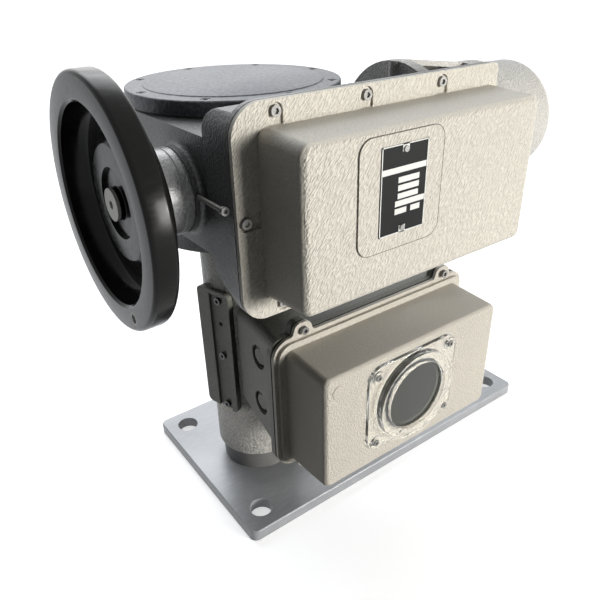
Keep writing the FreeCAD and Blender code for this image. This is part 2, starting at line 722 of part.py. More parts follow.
def make_output_bearing_upper():
    return tube_z(TOP_BRG_R, TOP_JOURNAL_R + RUN_FIT, TOP_BRG_Z0, TOP_BRG_Z0 + TOP_BRG_T)


def make_cover_gasket():
    ring = tube_z(CASE_R - 0.6, CASE_CAVITY_R, CASE_TOP, CASE_TOP + GASKET_T)
    r = COVER_SCREW_D / 2 + SCREW_FIT
    return cut(ring, [zcyl(r, CASE_TOP - 1, CASE_TOP + 3, s.x, s.y) for s in cover_seats()])


def make_case_cover():
    z0 = CASE_TOP + GASKET_T
    z1 = z0 + COVER_T
    hub_r = TOP_BRG_R + 7
    pts = [(0, TOP_BRG_Z0 + TOP_BRG_T, 0), (TOP_BRG_R, TOP_BRG_Z0 + TOP_BRG_T, 0), (TOP_BRG_R, TOP_BRG_Z0, 0),
           (hub_r, TOP_BRG_Z0, 0), (hub_r, z0, 0), (COVER_R, z0, 0), (COVER_R, z1, 1.6),
           (COVER_STEP_R, z1, 0), (COVER_STEP_R - COVER_STEP, z1 + COVER_STEP, 0), (0, z1 + COVER_STEP, 0)]
    tools = []
    for s in cover_seats():
        tools.append(zcyl(0.88 * COVER_SCREW_D, s.z, z1 + 2, s.x, s.y))
        tools.append(zcyl(COVER_SCREW_D / 2 + SCREW_FIT, z0 - HOLE_OVER, z1, s.x, s.y))
    return cut(lathe_z(pts), tools)


def make_cover_screws():
    return [cap_screw(s, -UP, COVER_SCREW_D, s.z - CASE_TOP + 13) for s in cover_seats()]


def make_bearing_cap():
    bore = WORM_SHAFT_R + RUN_FIT
    g = CAP_GROOVE_X
    pts = [(CAP_X0, bore, 0), (CAP_X0, NECK_R, 1.5), (g, NECK_R, 0), (g, CAP_GROOVE_R, 0),
           (g + CAP_GROOVE_W, CAP_GROOVE_R, 0), (g + CAP_GROOVE_W, NECK_R, 0), (CAP_X1, NECK_R, 0),
           (CAP_X1, CAP_GROOVE_R, 0), (NECK_X, CAP_GROOVE_R, 0), (NECK_X, WORM_BRG_R, 0),
           (WORM_BRG_A, WORM_BRG_R, 0), (WORM_BRG_A, bore, 0)]
    tools = []
    for s in cap_seats():
        tools.append(xcyl(0.9 * CAP_SCREW_D, CAP_X0 - HOLE_OVER, s.x, s.y, s.z))
        tools.append(xcyl(CAP_SCREW_D / 2 + SCREW_FIT, s.x - HOLE_OVER, NECK_X + HOLE_OVER, s.y, s.z))
    return cut(lathe_x(pts), tools)


def make_cap_screws():
    return [cap_screw(s, V(1, 0, 0), CAP_SCREW_D, NECK_X + 7.7 - s.x) for s in cap_seats()]


def make_worm_bearings():
    out = []
    for x in (WORM_BRG_A, WORM_BRG_B):
        out.append(tube_x(WORM_BRG_R, WORM_SHAFT_R + RUN_FIT, x, x + WORM_BRG_T))
    return out


def make_lock_screw():
    s = lock_seat()
    return [cap_screw(s, V(0, 1, 0), LOCK_SCREW_D, WORM_Y - WORM_BRG_R - 4.5 - s.y)]


def motor_seats():
    return around_worm(4, MOTOR_SCREW_RING, 60, LANTERN_X1 - LANTERN_RING_T)


def motor_screw_hole(seat, x0, x1):
    return xcyl(MOTOR_SCREW_D / 2 + SCREW_FIT, x0, x1, seat.y, seat.z)


def lantern_shell():
    """Tapered shell between disc and ring, open at the front above the sill."""
    start = V(LANTERN_DISC_X, WORM_Y, WORM_Z)
    span = LANTERN_X1 - LANTERN_RING_T - LANTERN_DISC_X
    big = LANTERN_DISC_R
    small = LANTERN_RING_R
    outer = Part.makeCone(big, small, span, start, V(1, 0, 0))
    inner = Part.makeCone(big - LANTERN_SHELL_T, small - LANTERN_SHELL_T, span, start, V(1, 0, 0))
    flat_x1 = CTRL_X1 + LANTERN_GAP
    wall = box(LANTERN_DISC_X, flat_x1, LANTERN_FLAT_Y, LANTERN_FLAT_Y + 6, WORM_Z - big, LANTERN_SILL)
    front = box(LANTERN_DISC_X, LANTERN_DISC_X + span, WORM_Y - big, WORM_Y - 2.5, LANTERN_SILL, WORM_Z + big)
    return fuse([outer.cut(inner).cut(front), wall.common(outer)])


def make_lantern():
    disc = xcyl(LANTERN_DISC_R, LINK_X, LANTERN_DISC_X)
    ring = xcyl(LANTERN_RING_R, LANTERN_X1 - LANTERN_RING_T, LANTERN_X1)
    lug = zcyl(6.5, WORM_Z + 61, WORM_Z + LANTERN_DISC_R + 0.5, LINK_X + 2, WORM_Y)
    body = fuse([disc, ring, lantern_shell(), lug])
    flat_x1 = CTRL_X1 + LANTERN_GAP
    body = body.cut(box(LINK_X - 20, flat_x1, BLOCK_Y - 130, LANTERN_FLAT_Y, CTRL_Z0 - 20, CTRL_Z1 + 20))
    tools = [xcyl(WORM_SHOULDER_R, LINK_X - HOLE_OVER, LANTERN_DISC_X + HOLE_OVER)]
    tools.append(xcyl(MOTOR_SPIGOT_R, LANTERN_X1 - LANTERN_RING_T - HOLE_OVER, LANTERN_X1 + HOLE_OVER))
    x0 = LINK_X - HOLE_OVER
    for s in link_seats():
        tools.append(xcyl(LINK_SCREW_D / 2 + SCREW_FIT, x0, LANTERN_DISC_X + HOLE_OVER, s.y, s.z))
    for s in motor_seats():
        tools.append(motor_screw_hole(s, s.x - HOLE_OVER, LANTERN_X1 + HOLE_OVER))
        tools.append(xcyl(0.92 * MOTOR_SCREW_D, s.x - MOTOR_SCREW_D - 0.5, s.x, s.y, s.z))
    return cut(body, tools)


def make_lantern_screws():
    return [cap_screw(s, V(-1, 0, 0), LINK_SCREW_D, LANTERN_DISC_T + 14) for s in link_seats()]


def make_motor_flange():
    x0 = LANTERN_X1
    hole = ROTOR_SHAFT_R + 4
    pts = [(x0 - 5, hole, 0), (x0 - 5, MOTOR_SPIGOT_R, 0), (x0, MOTOR_SPIGOT_R, 0), (x0, LANTERN_RING_R, 1),
           (x0 + 14, LANTERN_RING_R, 4), (MOTOR_FLANGE_X, MOTOR_R, 0), (MOTOR_FLANGE_X, MOTOR_CAVITY_R, 0),
           (x0 + 13, MOTOR_CAVITY_R, 0), (x0 + 13, MOTOR_BRG_R, 0), (MOTOR_BRG_A, MOTOR_BRG_R, 0),
           (MOTOR_BRG_A, hole, 0)]
    return cut(lathe_x(pts), [motor_screw_hole(s, x0 - 1, MOTOR_FLANGE_X + 1) for s in motor_seats()])


def make_motor_housing():
    x0 = MOTOR_FLANGE_X
    brg_back = MOTOR_BRG_B + MOTOR_BRG_T + 1
    inside = MOTOR_END - 9
    pts = [(x0, MOTOR_CAVITY_R, 0), (x0, MOTOR_R, 0), (MOTOR_END, MOTOR_R, MOTOR_DOME_R), (MOTOR_END, 0, 0),
           (brg_back, 0, 0), (brg_back, MOTOR_BRG_R, 0), (MOTOR_BRG_B, MOTOR_BRG_R, 0),
           (MOTOR_BRG_B, MOTOR_BRG_R + 6, 0), (inside, MOTOR_BRG_R + 6, 0),
           (inside, MOTOR_CAVITY_R, MOTOR_DOME_R - 7)]
    return cut(lathe_x(pts), [motor_screw_hole(s, x0 - 1, x0 + 16) for s in motor_seats()])


def make_motor_screws():
    return [cap_screw(s, V(1, 0, 0), MOTOR_SCREW_D, MOTOR_FLANGE_X + 15 - s.x) for s in motor_seats()]


def make_motor_stator():
    return tube_x(MOTOR_CAVITY_R, STATOR_BORE_R, STACK_X0, STACK_X1)


def make_motor_bearings():
    out = []
    for x in (MOTOR_BRG_A, MOTOR_BRG_B):
        out.append(tube_x(MOTOR_BRG_R, ROTOR_SHAFT_R + RUN_FIT, x, x + MOTOR_BRG_T))
    return out


def ctrl_outline(inset=0.0):
    r = CTRL_CORNER - inset
    low = CTRL_Z0 + inset
    high = CTRL_Z1 - inset
    left = CTRL_X0 + inset
    right = CTRL_X1 - inset
    return [(left, low, r - 3), (right, low, 6 - inset), (right, high, 6 - inset), (left, high, r)]


def ctrl_screws():
    y = CTRL_FACE_Y + CTRL_POCKET
    rows = [V(x, y, z) for x in CTRL_SCREW_X for z in (CTRL_SCREW_ZT, CTRL_SCREW_ZB)]
    return rows + [V(CTRL_SIDE_X, y, CTRL_SIDE_Z)]


def ctrl_screw_holes():
    return [screw_hole(s, V(0, 1, 0), CTRL_SCREW_D, CTRL_SCREW_L) for s in ctrl_screws()]


def ctrl_cavity(y0, y1):
    return xz_block(CAVITY_X0, CAVITY_X1, CAVITY_Z0, CAVITY_Z1, y0, y1, 12)


def board_corners():
    return [(x, z) for x in (BOARD_X0 + 8, BOARD_X1 - 8) for z in (BOARD_Z0 + 6, BOARD_Z1 - 6)]


def make_control_housing():
    rim = CTRL_FRONT + CTRL_RIM_T
    side = [(BLOCK_Y, CTRL_BODY_TOP, 12), (BLOCK_Y, CTRL_Z0 + 32, 12), (rim, CTRL_Z0 + 16, 10),
            (rim, CTRL_Z0, 0), (CTRL_FRONT, CTRL_Z0, 0), (CTRL_FRONT, CTRL_Z1, 0), (rim, CTRL_Z1, 0),
            (rim, CTRL_BODY_TOP, 0)]
    wire = rounded_wire(side, lambda u, v: V(CTRL_X0 - 5, u, v))
    body = Part.Face(wire).extrude(V(CTRL_X1 - CTRL_X0 + 10, 0, 0))
    body = body.common(xz_prism(ctrl_outline(), CTRL_FRONT - 1, BLOCK_Y + 1))
    lugs = [ycyl(CTRL_BOSS_R, s.x, s.z, CTRL_FRONT + 1, CTRL_FRONT + CTRL_BOSS_L) for s in ctrl_screws()[:-1]]
    body = fuse([body] + lugs).cut(ctrl_cavity(CTRL_FRONT - 1, BLOCK_Y - 6))
    posts = [ycyl(POST_R, x, z, BLOCK_Y - 4, BOARD_Y) for x, z in board_corners()]
    body = fuse([body] + posts)
    tools = ctrl_screw_holes()
    for s in block_seats():
        tools.append(ycyl(BLOCK_SCREW_D / 2 + SCREW_FIT, s.x, s.z, s.y - HOLE_OVER, BLOCK_Y + HOLE_OVER))
    return cut(body, tools)


def make_control_housing_screws():
    return [cap_screw(s, V(0, 1, 0), BLOCK_SCREW_D, 18, 7) for s in block_seats()]


def make_control_gasket():
    body = xz_prism(ctrl_outline(0.6), CTRL_SEAL_Y, CTRL_FRONT)
    body = body.cut(ctrl_cavity(CTRL_SEAL_Y - 1, CTRL_FRONT + 1))
    return cut(body, ctrl_screw_holes())


def make_control_cover():
    flange = xz_prism(ctrl_outline(), CTRL_FACE_Y, CTRL_SEAL_Y)
    d = CTRL_DRAFT
    back = (CTRL_BOX_X0, CTRL_BOX_X1, CTRL_BOX_Z0, CTRL_BOX_Z1, CTRL_SEAL_Y)
    front = (CTRL_BOX_X0 + d, CTRL_BOX_X1 - 1, CTRL_BOX_Z0 + d, CTRL_BOX_Z1 - d, CTRL_BOX_Y)
    shell = taper_block(back, front, CTRL_BOX_R)
    rim = [e for e in shell.Edges if e.BoundBox.YMax < CTRL_BOX_Y + 0.1]
    shell = shell.makeFillet(6, rim)
    pad = xz_block(LABEL_X0 - PAD_LEFT, LABEL_X0 + LABEL_W + PAD_RIGHT, LABEL_Z0 - PAD_BELOW,
                   LABEL_Z0 + LABEL_H + PAD_ABOVE, CTRL_BOX_Y - PAD_RISE, CTRL_BOX_Y + 1, 12)
    body = fuse([flange, shell, pad])
    w = CTRL_WALL
    hollow = taper_block((back[0] + w, back[1] - w, back[2] + w, back[3] - w, CTRL_SEAL_Y + 1),
                         (front[0] + w, front[1] - w, front[2] + w, front[3] - w, CTRL_BOX_Y + w), 6)
    return cut(body, [hollow] + ctrl_screw_holes() + [ctrl_pocket(s) for s in ctrl_screws()])


def ctrl_pocket(seat):
    """U-shaped spot face round a screw, open toward the box wall."""
    r = CTRL_POCKET_R
    y = CTRL_FACE_Y - 0.5
    round_end = ycyl(r, seat.x, seat.z, y, seat.y)
    if seat.z > CTRL_BOX_Z1:
        slot = box(seat.x - r, seat.x + r, y, seat.y, CTRL_BOX_Z1, seat.z)
    elif seat.z < CTRL_BOX_Z0:
        slot = box(seat.x - r, seat.x + r, y, seat.y, seat.z, CTRL_BOX_Z0)
    else:
        slot = box(seat.x, CTRL_BOX_X0, y, seat.y, seat.z - r, seat.z + r)
    return fuse([round_end, slot])


def make_control_cover_screws():
    return [cap_screw(s, V(0, 1, 0), CTRL_SCREW_D, CTRL_SCREW_L, CTRL_HEAD_H) for s in ctrl_screws()]


def plate_pins():
    y = CTRL_BOX_Y - PAD_RISE - LABEL_T
    x = LABEL_X0 + LABEL_W / 2
    return [V(x, y, LABEL_Z0 + LABEL_H - PIN_INSET), V(x, y, LABEL_Z0 + PIN_INSET)]


def make_data_plate():
    y = CTRL_BOX_Y - PAD_RISE
    body = box(LABEL_X0, LABEL_X0 + LABEL_W, y - LABEL_T, y, LABEL_Z0, LABEL_Z0 + LABEL_H)
    return cut(body, [ycyl(1.2 + SCREW_FIT, p.x, p.z, y - 3, y + 1) for p in plate_pins()])


def make_plate_pins():
    out = []
    for p in plate_pins():
        head = ycyl(2.4, p.x, p.z, p.y - 1.2, p.y)
        out.append(fuse([head, ycyl(1.2, p.x, p.z, p.y, p.y + LABEL_T)]))
    return out


def make_control_board():
    y0 = BOARD_Y - BOARD_T
    x = BOARD_X0
    z = BOARD_Z0
    body = box(x, BOARD_X1, y0, BOARD_Y, z, BOARD_Z1)
    sizes = [(22, 62, 24, 74, 20), (82, 117, 16, 40, 8), (82, 117, 64, 88, 8), (7, 152, 2, 10, 11)]
    parts = [box(x + a, x + b, y0 - tall, y0 + 1, z + c, z + d) for a, b, c, d, tall in sizes]
    return fuse([body] + parts)


def make_motor_capacitor():
    y = BOARD_Y - BOARD_T
    return ycyl(17.0, BOARD_X1 - 42.0, BOARD_Z0 + 56.0, y - 55, y)


def ear_points():
    return [(x, z) for x in EAR_X for z in (TERM_Z1 + EAR_OUT, TERM_Z0 - EAR_OUT)]


def ear_corners(x, edge, out, inset):
    """One screw ear on a level edge of the flange, left to right; out is +1 above, -1 below."""
    draw_in = 0.73 * inset
    root = EAR_ROOT_R + inset
    tip_r = EAR_R - inset
    tip = edge + out * (EAR_OUT + EAR_R)
    return [(x - EAR_BASE + draw_in, edge, root), (x - EAR_TOP + draw_in, tip, tip_r),
            (x + EAR_TOP - draw_in, tip, tip_r), (x + EAR_BASE - draw_in, edge, root)]


def term_flange(y0, y1, inset=0.0):
    low = TERM_Z0 + inset
    high = TERM_Z1 - inset
    left = TERM_CORNER_R - inset
    right = TERM_CORNER_RIGHT - inset
    pts = [(TERM_X0 + inset, low, left)]
    for x in EAR_X:
        pts += ear_corners(x, low, -1, inset)
    pts += [(TERM_X1 - inset, low, right), (TERM_X1 - inset, high, right)]
    for x in reversed(EAR_X):
        pts += reversed(ear_corners(x, high, 1, inset))
    pts.append((TERM_X0 + inset, high, left))
    return xz_prism(pts, y0, y1)


def term_opening(y0, y1):
    return xz_block(TERM_X0 + 18, TERM_X1 - 18, TERM_Z0 + 30, TERM_Z1 - 14.5, y0, y1, 14)


def ear_holes(y0, y1):
    return [ycyl(EAR_SCREW_D / 2 + SCREW_FIT, x, z, y0, y1) for x, z in ear_points()]


def make_terminal_housing():
    back = (TERM_X0 + 11, TERM_X1 - 15, TERM_Z0 + 34, TERM_Z1 - 0.5, TERM_BACK)
    front = (TERM_X0 + 2, TERM_X1 - 6, TERM_Z0 + 18, TERM_Z1 - 0.5, TERM_FRONT)
    flange = term_flange(TERM_FRONT, TERM_FRONT + TERM_FLANGE_T)
    body = fuse([taper_block(back, front, 10), flange])
    w = TERM_WALL
    hollow = taper_block((back[0] + w, back[1] - w, back[2] + w, back[3] - w, TERM_BACK - w),
                         (front[0] + w, front[1] - w, front[2] + w, front[3] - w, TERM_FRONT + 8), 8)
    hollow = fuse([hollow, term_opening(TERM_FRONT - 1, TERM_FRONT + 20)])
    keep = zcyl(COL_R + SADDLE_T, TERM_Z0, TERM_Z1 + 10)
    pads = [ycyl(9.5, s.x, s.z, s.y, TERM_BACK - 5) for s in housing_seats()]
    body = body.cut(hollow.cut(fuse([keep] + pads))).cut(zcyl(COL_R, TERM_Z0, TERM_Z1 + 20))
    tools = [screw_hole(s, V(0, 1, 0), HOUSING_BOLT_D, 22) for s in housing_seats()]
    for z in PLUG_Z:
        tools.append(xcyl(PLUG_R, TERM_X0 - 10, TERM_X0 + 25, PLUG_Y, z))
    return cut(body, tools + ear_holes(TERM_FRONT - 1, TERM_FRONT + TERM_FLANGE_T + 1))


def make_housing_bolts():
    return [cap_screw(s, V(0, 1, 0), HOUSING_BOLT_D, 20) for s in housing_seats()]


def make_terminal_gasket():
    body = term_flange(TERM_SEAL_Y, TERM_FRONT, 0.8).cut(term_opening(TERM_SEAL_Y - 1, TERM_FRONT + 1))
    return cut(body, ear_holes(TERM_SEAL_Y - 1, TERM_FRONT + 1))


def view_screws():
    dx = VIEW_HALF_X - VIEW_SCREW_INSET
    dz = VIEW_HALF_Z - VIEW_SCREW_INSET
    return [(VIEW_X + sx * dx, VIEW_Z + sz * dz) for sx in (-1, 1) for sz in (-1, 1)]


def view_holes(y0, y1):
    return [ycyl(VIEW_SCREW_D / 2 + SCREW_FIT, x, z, y0, y1) for x, z in view_screws()]


def make_terminal_cover():
    y0 = TERM_SEAL_Y
    e = TERM_LIP
    lip = term_flange(TERM_LIP_Y, y0)
    plateau = [(TERM_X0 + e, TERM_Z0 + e, TERM_CORNER_R - e), (TERM_X1 - e, TERM_Z0 + e, TERM_CORNER_RIGHT - e),
               (TERM_X1 - e, TERM_Z1 - e, TERM_CORNER_RIGHT - e), (TERM_X0 + e, TERM_Z1 - e, TERM_CORNER_R - e)]
    back = (TERM_X0 + 12, TERM_X1 - 12, TERM_Z0 + 9.6, TERM_Z1 - 10, y0)
    front = (TERM_X0 + 13.5, TERM_X1 - 12, TERM_Z0 + 12, TERM_Z1 - 14.5, TERM_LID_FRONT)
    shell = taper_block(back, front, 8)
    rim = [edge for edge in shell.Edges if edge.BoundBox.YMax < TERM_LID_FRONT + 0.1]
    shell = shell.makeFillet(5, rim)
    mark = ycyl(MARK_R, MARK_X, MARK_Z, TERM_LID_FRONT - 0.5, TERM_LID_FRONT + 1)
    body = fuse([lip, xz_prism(plateau, TERM_LID_Y, y0), shell, mark])
    w = TERM_LID_WALL
    hollow = taper_block((TERM_X0 + 18, TERM_X1 - 18, TERM_Z0 + 30, TERM_Z1 - 15.5, y0 + 1),
                         (front[0] + w, front[1] - w, front[2] + w, front[3] - w, TERM_LID_FRONT + w), 6)
    ahead = TERM_LID_FRONT - 1
    behind = TERM_LID_FRONT + w + 1
    tools = [hollow, ycyl(VIEW_HOLE_R, VIEW_X, VIEW_Z, ahead, behind)]
    return cut(body, tools + ear_holes(TERM_LIP_Y - 1, y0 + 1) + view_holes(ahead, behind))


def make_terminal_cover_screws():
    length = TERM_FRONT + TERM_FLANGE_T - 1.2 - TERM_LIP_Y
    return [cap_screw(V(x, TERM_LIP_Y, z), V(0, 1, 0), EAR_SCREW_D, length, 4.5) for x, z in ear_points()]


def make_window_frame():
    y0 = TERM_LID_FRONT
    y1 = y0 - VIEW_T
    plate = xz_block(VIEW_X - VIEW_HALF_X, VIEW_X + VIEW_HALF_X, VIEW_Z - VIEW_HALF_Z, VIEW_Z + VIEW_HALF_Z,
                     y1, y0, VIEW_CORNER)
    ring = ycyl(VIEW_RING_R, VIEW_X, VIEW_Z, VIEW_RING_Y, y0)
    bosses = [ycyl(VIEW_BOSS_R, x, z, y1 - VIEW_BOSS_T, y0) for x, z in view_screws()]
    body = fuse([plate, ring] + bosses)
    bore = ycyl(VIEW_GLASS_R, VIEW_X, VIEW_Z, VIEW_RING_Y - 1, y0 - 2)
    body = body.cut(fuse([bore, ycyl(VIEW_LEDGE_R, VIEW_X, VIEW_Z, y0 - 3, y0 + 1)]))
    wells = [ycyl(0.9 * VIEW_SCREW_D, x, z, y1 - 5, y1) for x, z in view_screws()]
    return cut(body, wells + view_holes(y1 - 1, y0 + 1))


def make_window_lens():
    return ycyl(VIEW_GLASS_R - 0.1, VIEW_X, VIEW_Z, VIEW_RING_Y + 4, TERM_LID_FRONT - 2)


def make_window_screws():
    y = TERM_LID_FRONT - VIEW_T
    return [cap_screw(V(x, y, z), V(0, 1, 0), VIEW_SCREW_D, 8, 2.6) for x, z in view_screws()]


def make_display_module():
    y = TERM_LID_FRONT
    disc = ycyl(VIEW_HOLE_R - 0.5, VIEW_X, VIEW_Z, y, y + 8)
    return fuse([disc, box(VIEW_X - 30, VIEW_X + 30, y + 7, y + 18, VIEW_Z - 28, VIEW_Z + 28)])


def make_cable_plugs():
    r_in, r_out, deep = PLUG_GROOVE
    out = []
    for z in PLUG_Z:
        body = xcyl(PLUG_R, PLUG_X, PLUG_X + PLUG_T, PLUG_Y, z)
        ring = xcyl(r_out, PLUG_X - 1, PLUG_X + deep, PLUG_Y, z)
        out.append(body.cut(ring.cut(xcyl(r_in, PLUG_X - 1, PLUG_X + deep, PLUG_Y, z))))
    return out


def make_terminal_block():
    y1 = TERM_BACK - TERM_WALL
    x0 = TERM_X0 + 120
    z0 = TERM_Z0 + 56
    body = box(x0, x0 + 110, y1 - 22, y1, z0, z0 + 26)
    slots = []
    for i in range(8):
        x = x0 + 4 + 13.5 * i
        slots.append(box(x, x + 9, y1 - 23, y1 - 14, z0 - 1, z0 + 9))
    return cut(body, slots)


def sensor_centre():
    a = math.radians(SENSOR_ANGLE)
    d = SENSOR_MODULE * (SENSOR_GEAR_N + SENSOR_PINION_N) / 2
    return COL_X + d * math.cos(a), d * math.sin(a)


def make_sensor_body():
    x, y = sensor_centre()
    body = zcyl(SENSOR_R, COL_TOP + CASE_FLOOR_T, SENSOR_Z0 - 1.5, x, y)
    return body.cut(zcyl(SENSOR_SHAFT_R + RUN_FIT, SENSOR_Z0 - 14, SENSOR_Z0, x, y))


def spur_teeth(n, pitch_r, bore_r, z0, z1, x, y, start):
    """Straight-sided spur gear about (x, y); start is the angle of the first tooth in degrees."""
    add = 0.9 * SENSOR_MODULE
    ded = 1.15 * SENSOR_MODULE
    quarter = 90.0 / n
    pts = []
    for i in range(n):
        a = start + 360.0 * i / n
        for da, r in ((-1.25, -ded), (-0.5, add), (0.5, add), (1.25, -ded)):
            ang = math.radians(a + da * quarter)
            pts.append(V(x + (pitch_r + r) * math.cos(ang), y + (pitch_r + r) * math.sin(ang), z0))
    gear = Part.Face(Part.makePolygon(pts + [pts[0]])).extrude(V(0, 0, z1 - z0))
    return gear.cut(zcyl(bore_r, z0 - 1, z1 + 1, x, y)) if bore_r > 0 else gear


def make_feedback_gear():
    r = SENSOR_MODULE * SENSOR_GEAR_N / 2
    return spur_teeth(SENSOR_GEAR_N, r, COLLAR_R, SENSOR_Z0, SENSOR_Z0 + SENSOR_FACE_W, COL_X, 0, SENSOR_ANGLE)


def make_sensor_pinion():
    x, y = sensor_centre()
    r = SENSOR_MODULE * SENSOR_PINION_N / 2
    first = SENSOR_ANGLE + 180 + 180.0 / SENSOR_PINION_N
    gear = spur_teeth(SENSOR_PINION_N, r, 0, SENSOR_Z0, SENSOR_Z0 + SENSOR_FACE_W, x, y, first)
    return fuse([gear, zcyl(SENSOR_SHAFT_R, SENSOR_Z0 - 12, SENSOR_Z0 + 1, x, y)])


def make_output_shaft():
    z1 = LOW_BRG_Z0 + LOW_BRG_T + END_PLAY
    z2 = TOP_BRG_Z0 - END_PLAY
    z3 = TOP_BRG_Z0 + TOP_BRG_T - 0.5
    pts = [(0, SHAFT_Z0, 0), (SHAFT_R, SHAFT_Z0, 1), (SHAFT_R, z1, 0), (COLLAR_R, z1, 0), (COLLAR_R, COLLAR_TOP, 0),
           (SHAFT_R, COLLAR_TOP, 0), (SHAFT_R, z2, 0), (TOP_JOURNAL_R, z2, 0), (TOP_JOURNAL_R, z3, 1), (0, z3, 0)]
    return lathe_z(pts)


def lever_seat():
    return V(LEVER_SCREW_X, LEVER_SCREW_SEAT, LEVER_Z)


def make_crank_lever():
    hub = zcyl(LEVER_HUB_R, LEVER_HUB_Z0, LEVER_HUB_Z1)
    tip = COL_X + LEVER_REACH
    eye = zcyl(LEVER_EYE_R, LEVER_Z0, LEVER_Z1, tip, 0)
    n = LEVER_NECK_HALF
    arm = box(COL_X, tip, -n, n, LEVER_Z0, LEVER_Z1)
    body = fuse([hub, arm, eye])
    low = LEVER_HUB_Z0 - 1
    high = LEVER_HUB_Z1 + 1
    s = LEVER_SLOT / 2
    tools = [zcyl(SHAFT_R, low, high), zcyl(LEVER_PIN_R, low, high, tip, 0)]
    tools.append(box(COL_X - LEVER_HUB_R - 1, COL_X, -s, s, low, high))
    seat = lever_seat()
    tools.append(ycyl(LEVER_SCREW_D / 2 + SCREW_FIT, seat.x, seat.z, -40, 40))
    tools.append(ycyl(0.875 * LEVER_SCREW_D, seat.x, seat.z, -40, seat.y))
    return cut(body, tools)


def make_lever_screw():
    return [cap_screw(lever_seat(), V(0, 1, 0), LEVER_SCREW_D, LEVER_SCREW_L, 7)]


def trapezoid(inner_r, outer_r, half_at_pitch, pitch_r):
    a = half_at_pitch + (pitch_r - inner_r) * math.tan(FLANK)
    b = half_at_pitch - (outer_r - pitch_r) * math.tan(FLANK)
    return a, b


def make_worm_wheel():
    z0 = WORM_Z - WHEEL_HALF_W
    z1 = WORM_Z + WHEEL_HALF_W
    blank = fuse([zcyl(WHEEL_BLANK_R, z0, z1), zcyl(WHEEL_HUB_R, COLLAR_TOP, WHEEL_HUB_TOP)])
    throat = Part.makeTorus(CENTRE_DIST, WORM_ROOT_R + 0.8, V(COL_X, 0, WORM_Z), UP)
    blank = blank.cut(throat).cut(zcyl(SHAFT_R, COLLAR_TOP - 1, WHEEL_HUB_TOP + 1))
    outer = WORM_TIP_R + 0.6
    inner = WORM_ROOT_R - 4
    a, b = trapezoid(inner, outer, GAP_HALF, WORM_PITCH_R)
    pts = [V(-a, inner, 0), V(a, inner, 0), V(b, outer, 0), V(-b, outer, 0)]
    face = Part.Face(Part.makePolygon(pts + [pts[0]]))
    groove = face.revolve(V(0, 0, 0), V(1, 0, 0), 360)
    lead = math.degrees(math.atan(WORM_PITCH / (2 * math.pi * WORM_PITCH_R)))
    groove.rotate(V(0, 0, 0), V(0, 1, 0), lead)
    groove.translate(V(COL_X, WORM_Y, WORM_Z))
    reach = box(COL_X - 8, COL_X + 8, -WHEEL_BLANK_R - 2, -50, z0 - 1, z1 + 1)
    groove = groove.common(reach)
    cutters = []
    for i in range(WHEEL_TEETH):
        g = groove.copy()
        g.rotate(V(COL_X, 0, 0), UP, 360.0 * i / WHEEL_TEETH)
        cutters.append(g)
    return cut(blank, cutters)


def make_worm_shaft():
    x_a = COL_X - 33
    x_b = COL_X + 33
    x_in = WORM_BRG_A + WORM_BRG_T + END_PLAY
    pts = [(SHAFT_TIP, 0, 0), (SHAFT_TIP, WHEEL_BORE_R, 0), (WHEEL_BACK, WHEEL_BORE_R, 0),
           (WHEEL_BACK, WORM_SHAFT_R, 0), (x_in, WORM_SHAFT_R, 0), (x_in, WORM_SHOULDER_R, 0),
           (x_a, WORM_SHOULDER_R, 0), (x_a, WORM_ROOT_R, 0), (x_b, WORM_ROOT_R, 0), (x_b, WORM_SHOULDER_R, 0),
           (WORM_BRG_B - END_PLAY, WORM_SHOULDER_R, 0), (WORM_BRG_B - END_PLAY, WORM_SHAFT_R, 0),
           (WORM_SHAFT_END, WORM_SHAFT_R, 0), (WORM_SHAFT_END, 0, 0)]
    core = lathe_x(pts)
    inner = WORM_ROOT_R - 0.6
    a, b = trapezoid(inner, WORM_TIP_R, THREAD_HALF, WORM_PITCH_R)
    length = WORM_PITCH * WORM_TURNS
    helix = Part.makeHelix(WORM_PITCH, length, WORM_PITCH_R)
    prof = [V(inner, 0, -a), V(WORM_TIP_R, 0, -b), V(WORM_TIP_R, 0, b), V(inner, 0, a)]
    wire = Part.makePolygon(prof + [prof[0]])
    thread = Part.Wire(helix).makePipeShell([wire], True, True)
    along = FreeCAD.Rotation(V(1, 1, 1), 120)
    thread.Placement = FreeCAD.Placement(V(COL_X - length / 2, WORM_Y, WORM_Z), along)
    body = fuse([core, thread])
    bore_end = HUB_TIP - HUB_WASHER_T + HUB_SCREW_L + 0.5
    return body.cut(xcyl(HUB_SCREW_D / 2 + SCREW_FIT, SHAFT_TIP - 1, bore_end))


def make_handwheel():
    face = WHEEL_FACE - 3
    open_r = WHEEL_OPEN_R
    pts = [(WHEEL_BACK, WHEEL_BORE_R, 0), (HUB_TIP, WHEEL_BORE_R, 0), (HUB_TIP, HUB_TIP_R, 0.6),
           (WHEEL_FACE, HUB_TIP_R, 1), (WHEEL_FACE, HUB_PLATE_R, 0), (face, HUB_PLATE_R, 0), (face, 46, 3),
           (DISH_X, 58, 9), (DISH_X - 1, 74, 6), (WHEEL_BACK - 28, open_r, 0), (WHEEL_FRONT + 2, open_r, 0),
           (WHEEL_FRONT, open_r + 2, 1.2), (WHEEL_FRONT, WHEEL_R, RIM_EDGE_R), (WHEEL_RIM_BACK, WHEEL_R, 4),
           (WHEEL_RIM_BACK, WHEEL_R - 14, 3), (DISH_BACK, 72, 8), (DISH_BACK, HUB_R + 4, 4),
           (WHEEL_BACK - 4, HUB_R, 2), (WHEEL_BACK, HUB_R, 1)]
    y, z = handle_centre()
    return lathe_x(pts).cut(xcyl(HANDLE_R, WHEEL_FRONT - 1, WHEEL_FRONT + HANDLE_DEPTH, y, z))


def handle_centre():
    a = math.radians(HANDLE_ANGLE)
    return WORM_Y + HANDLE_RING * math.cos(a), WORM_Z + HANDLE_RING * math.sin(a)


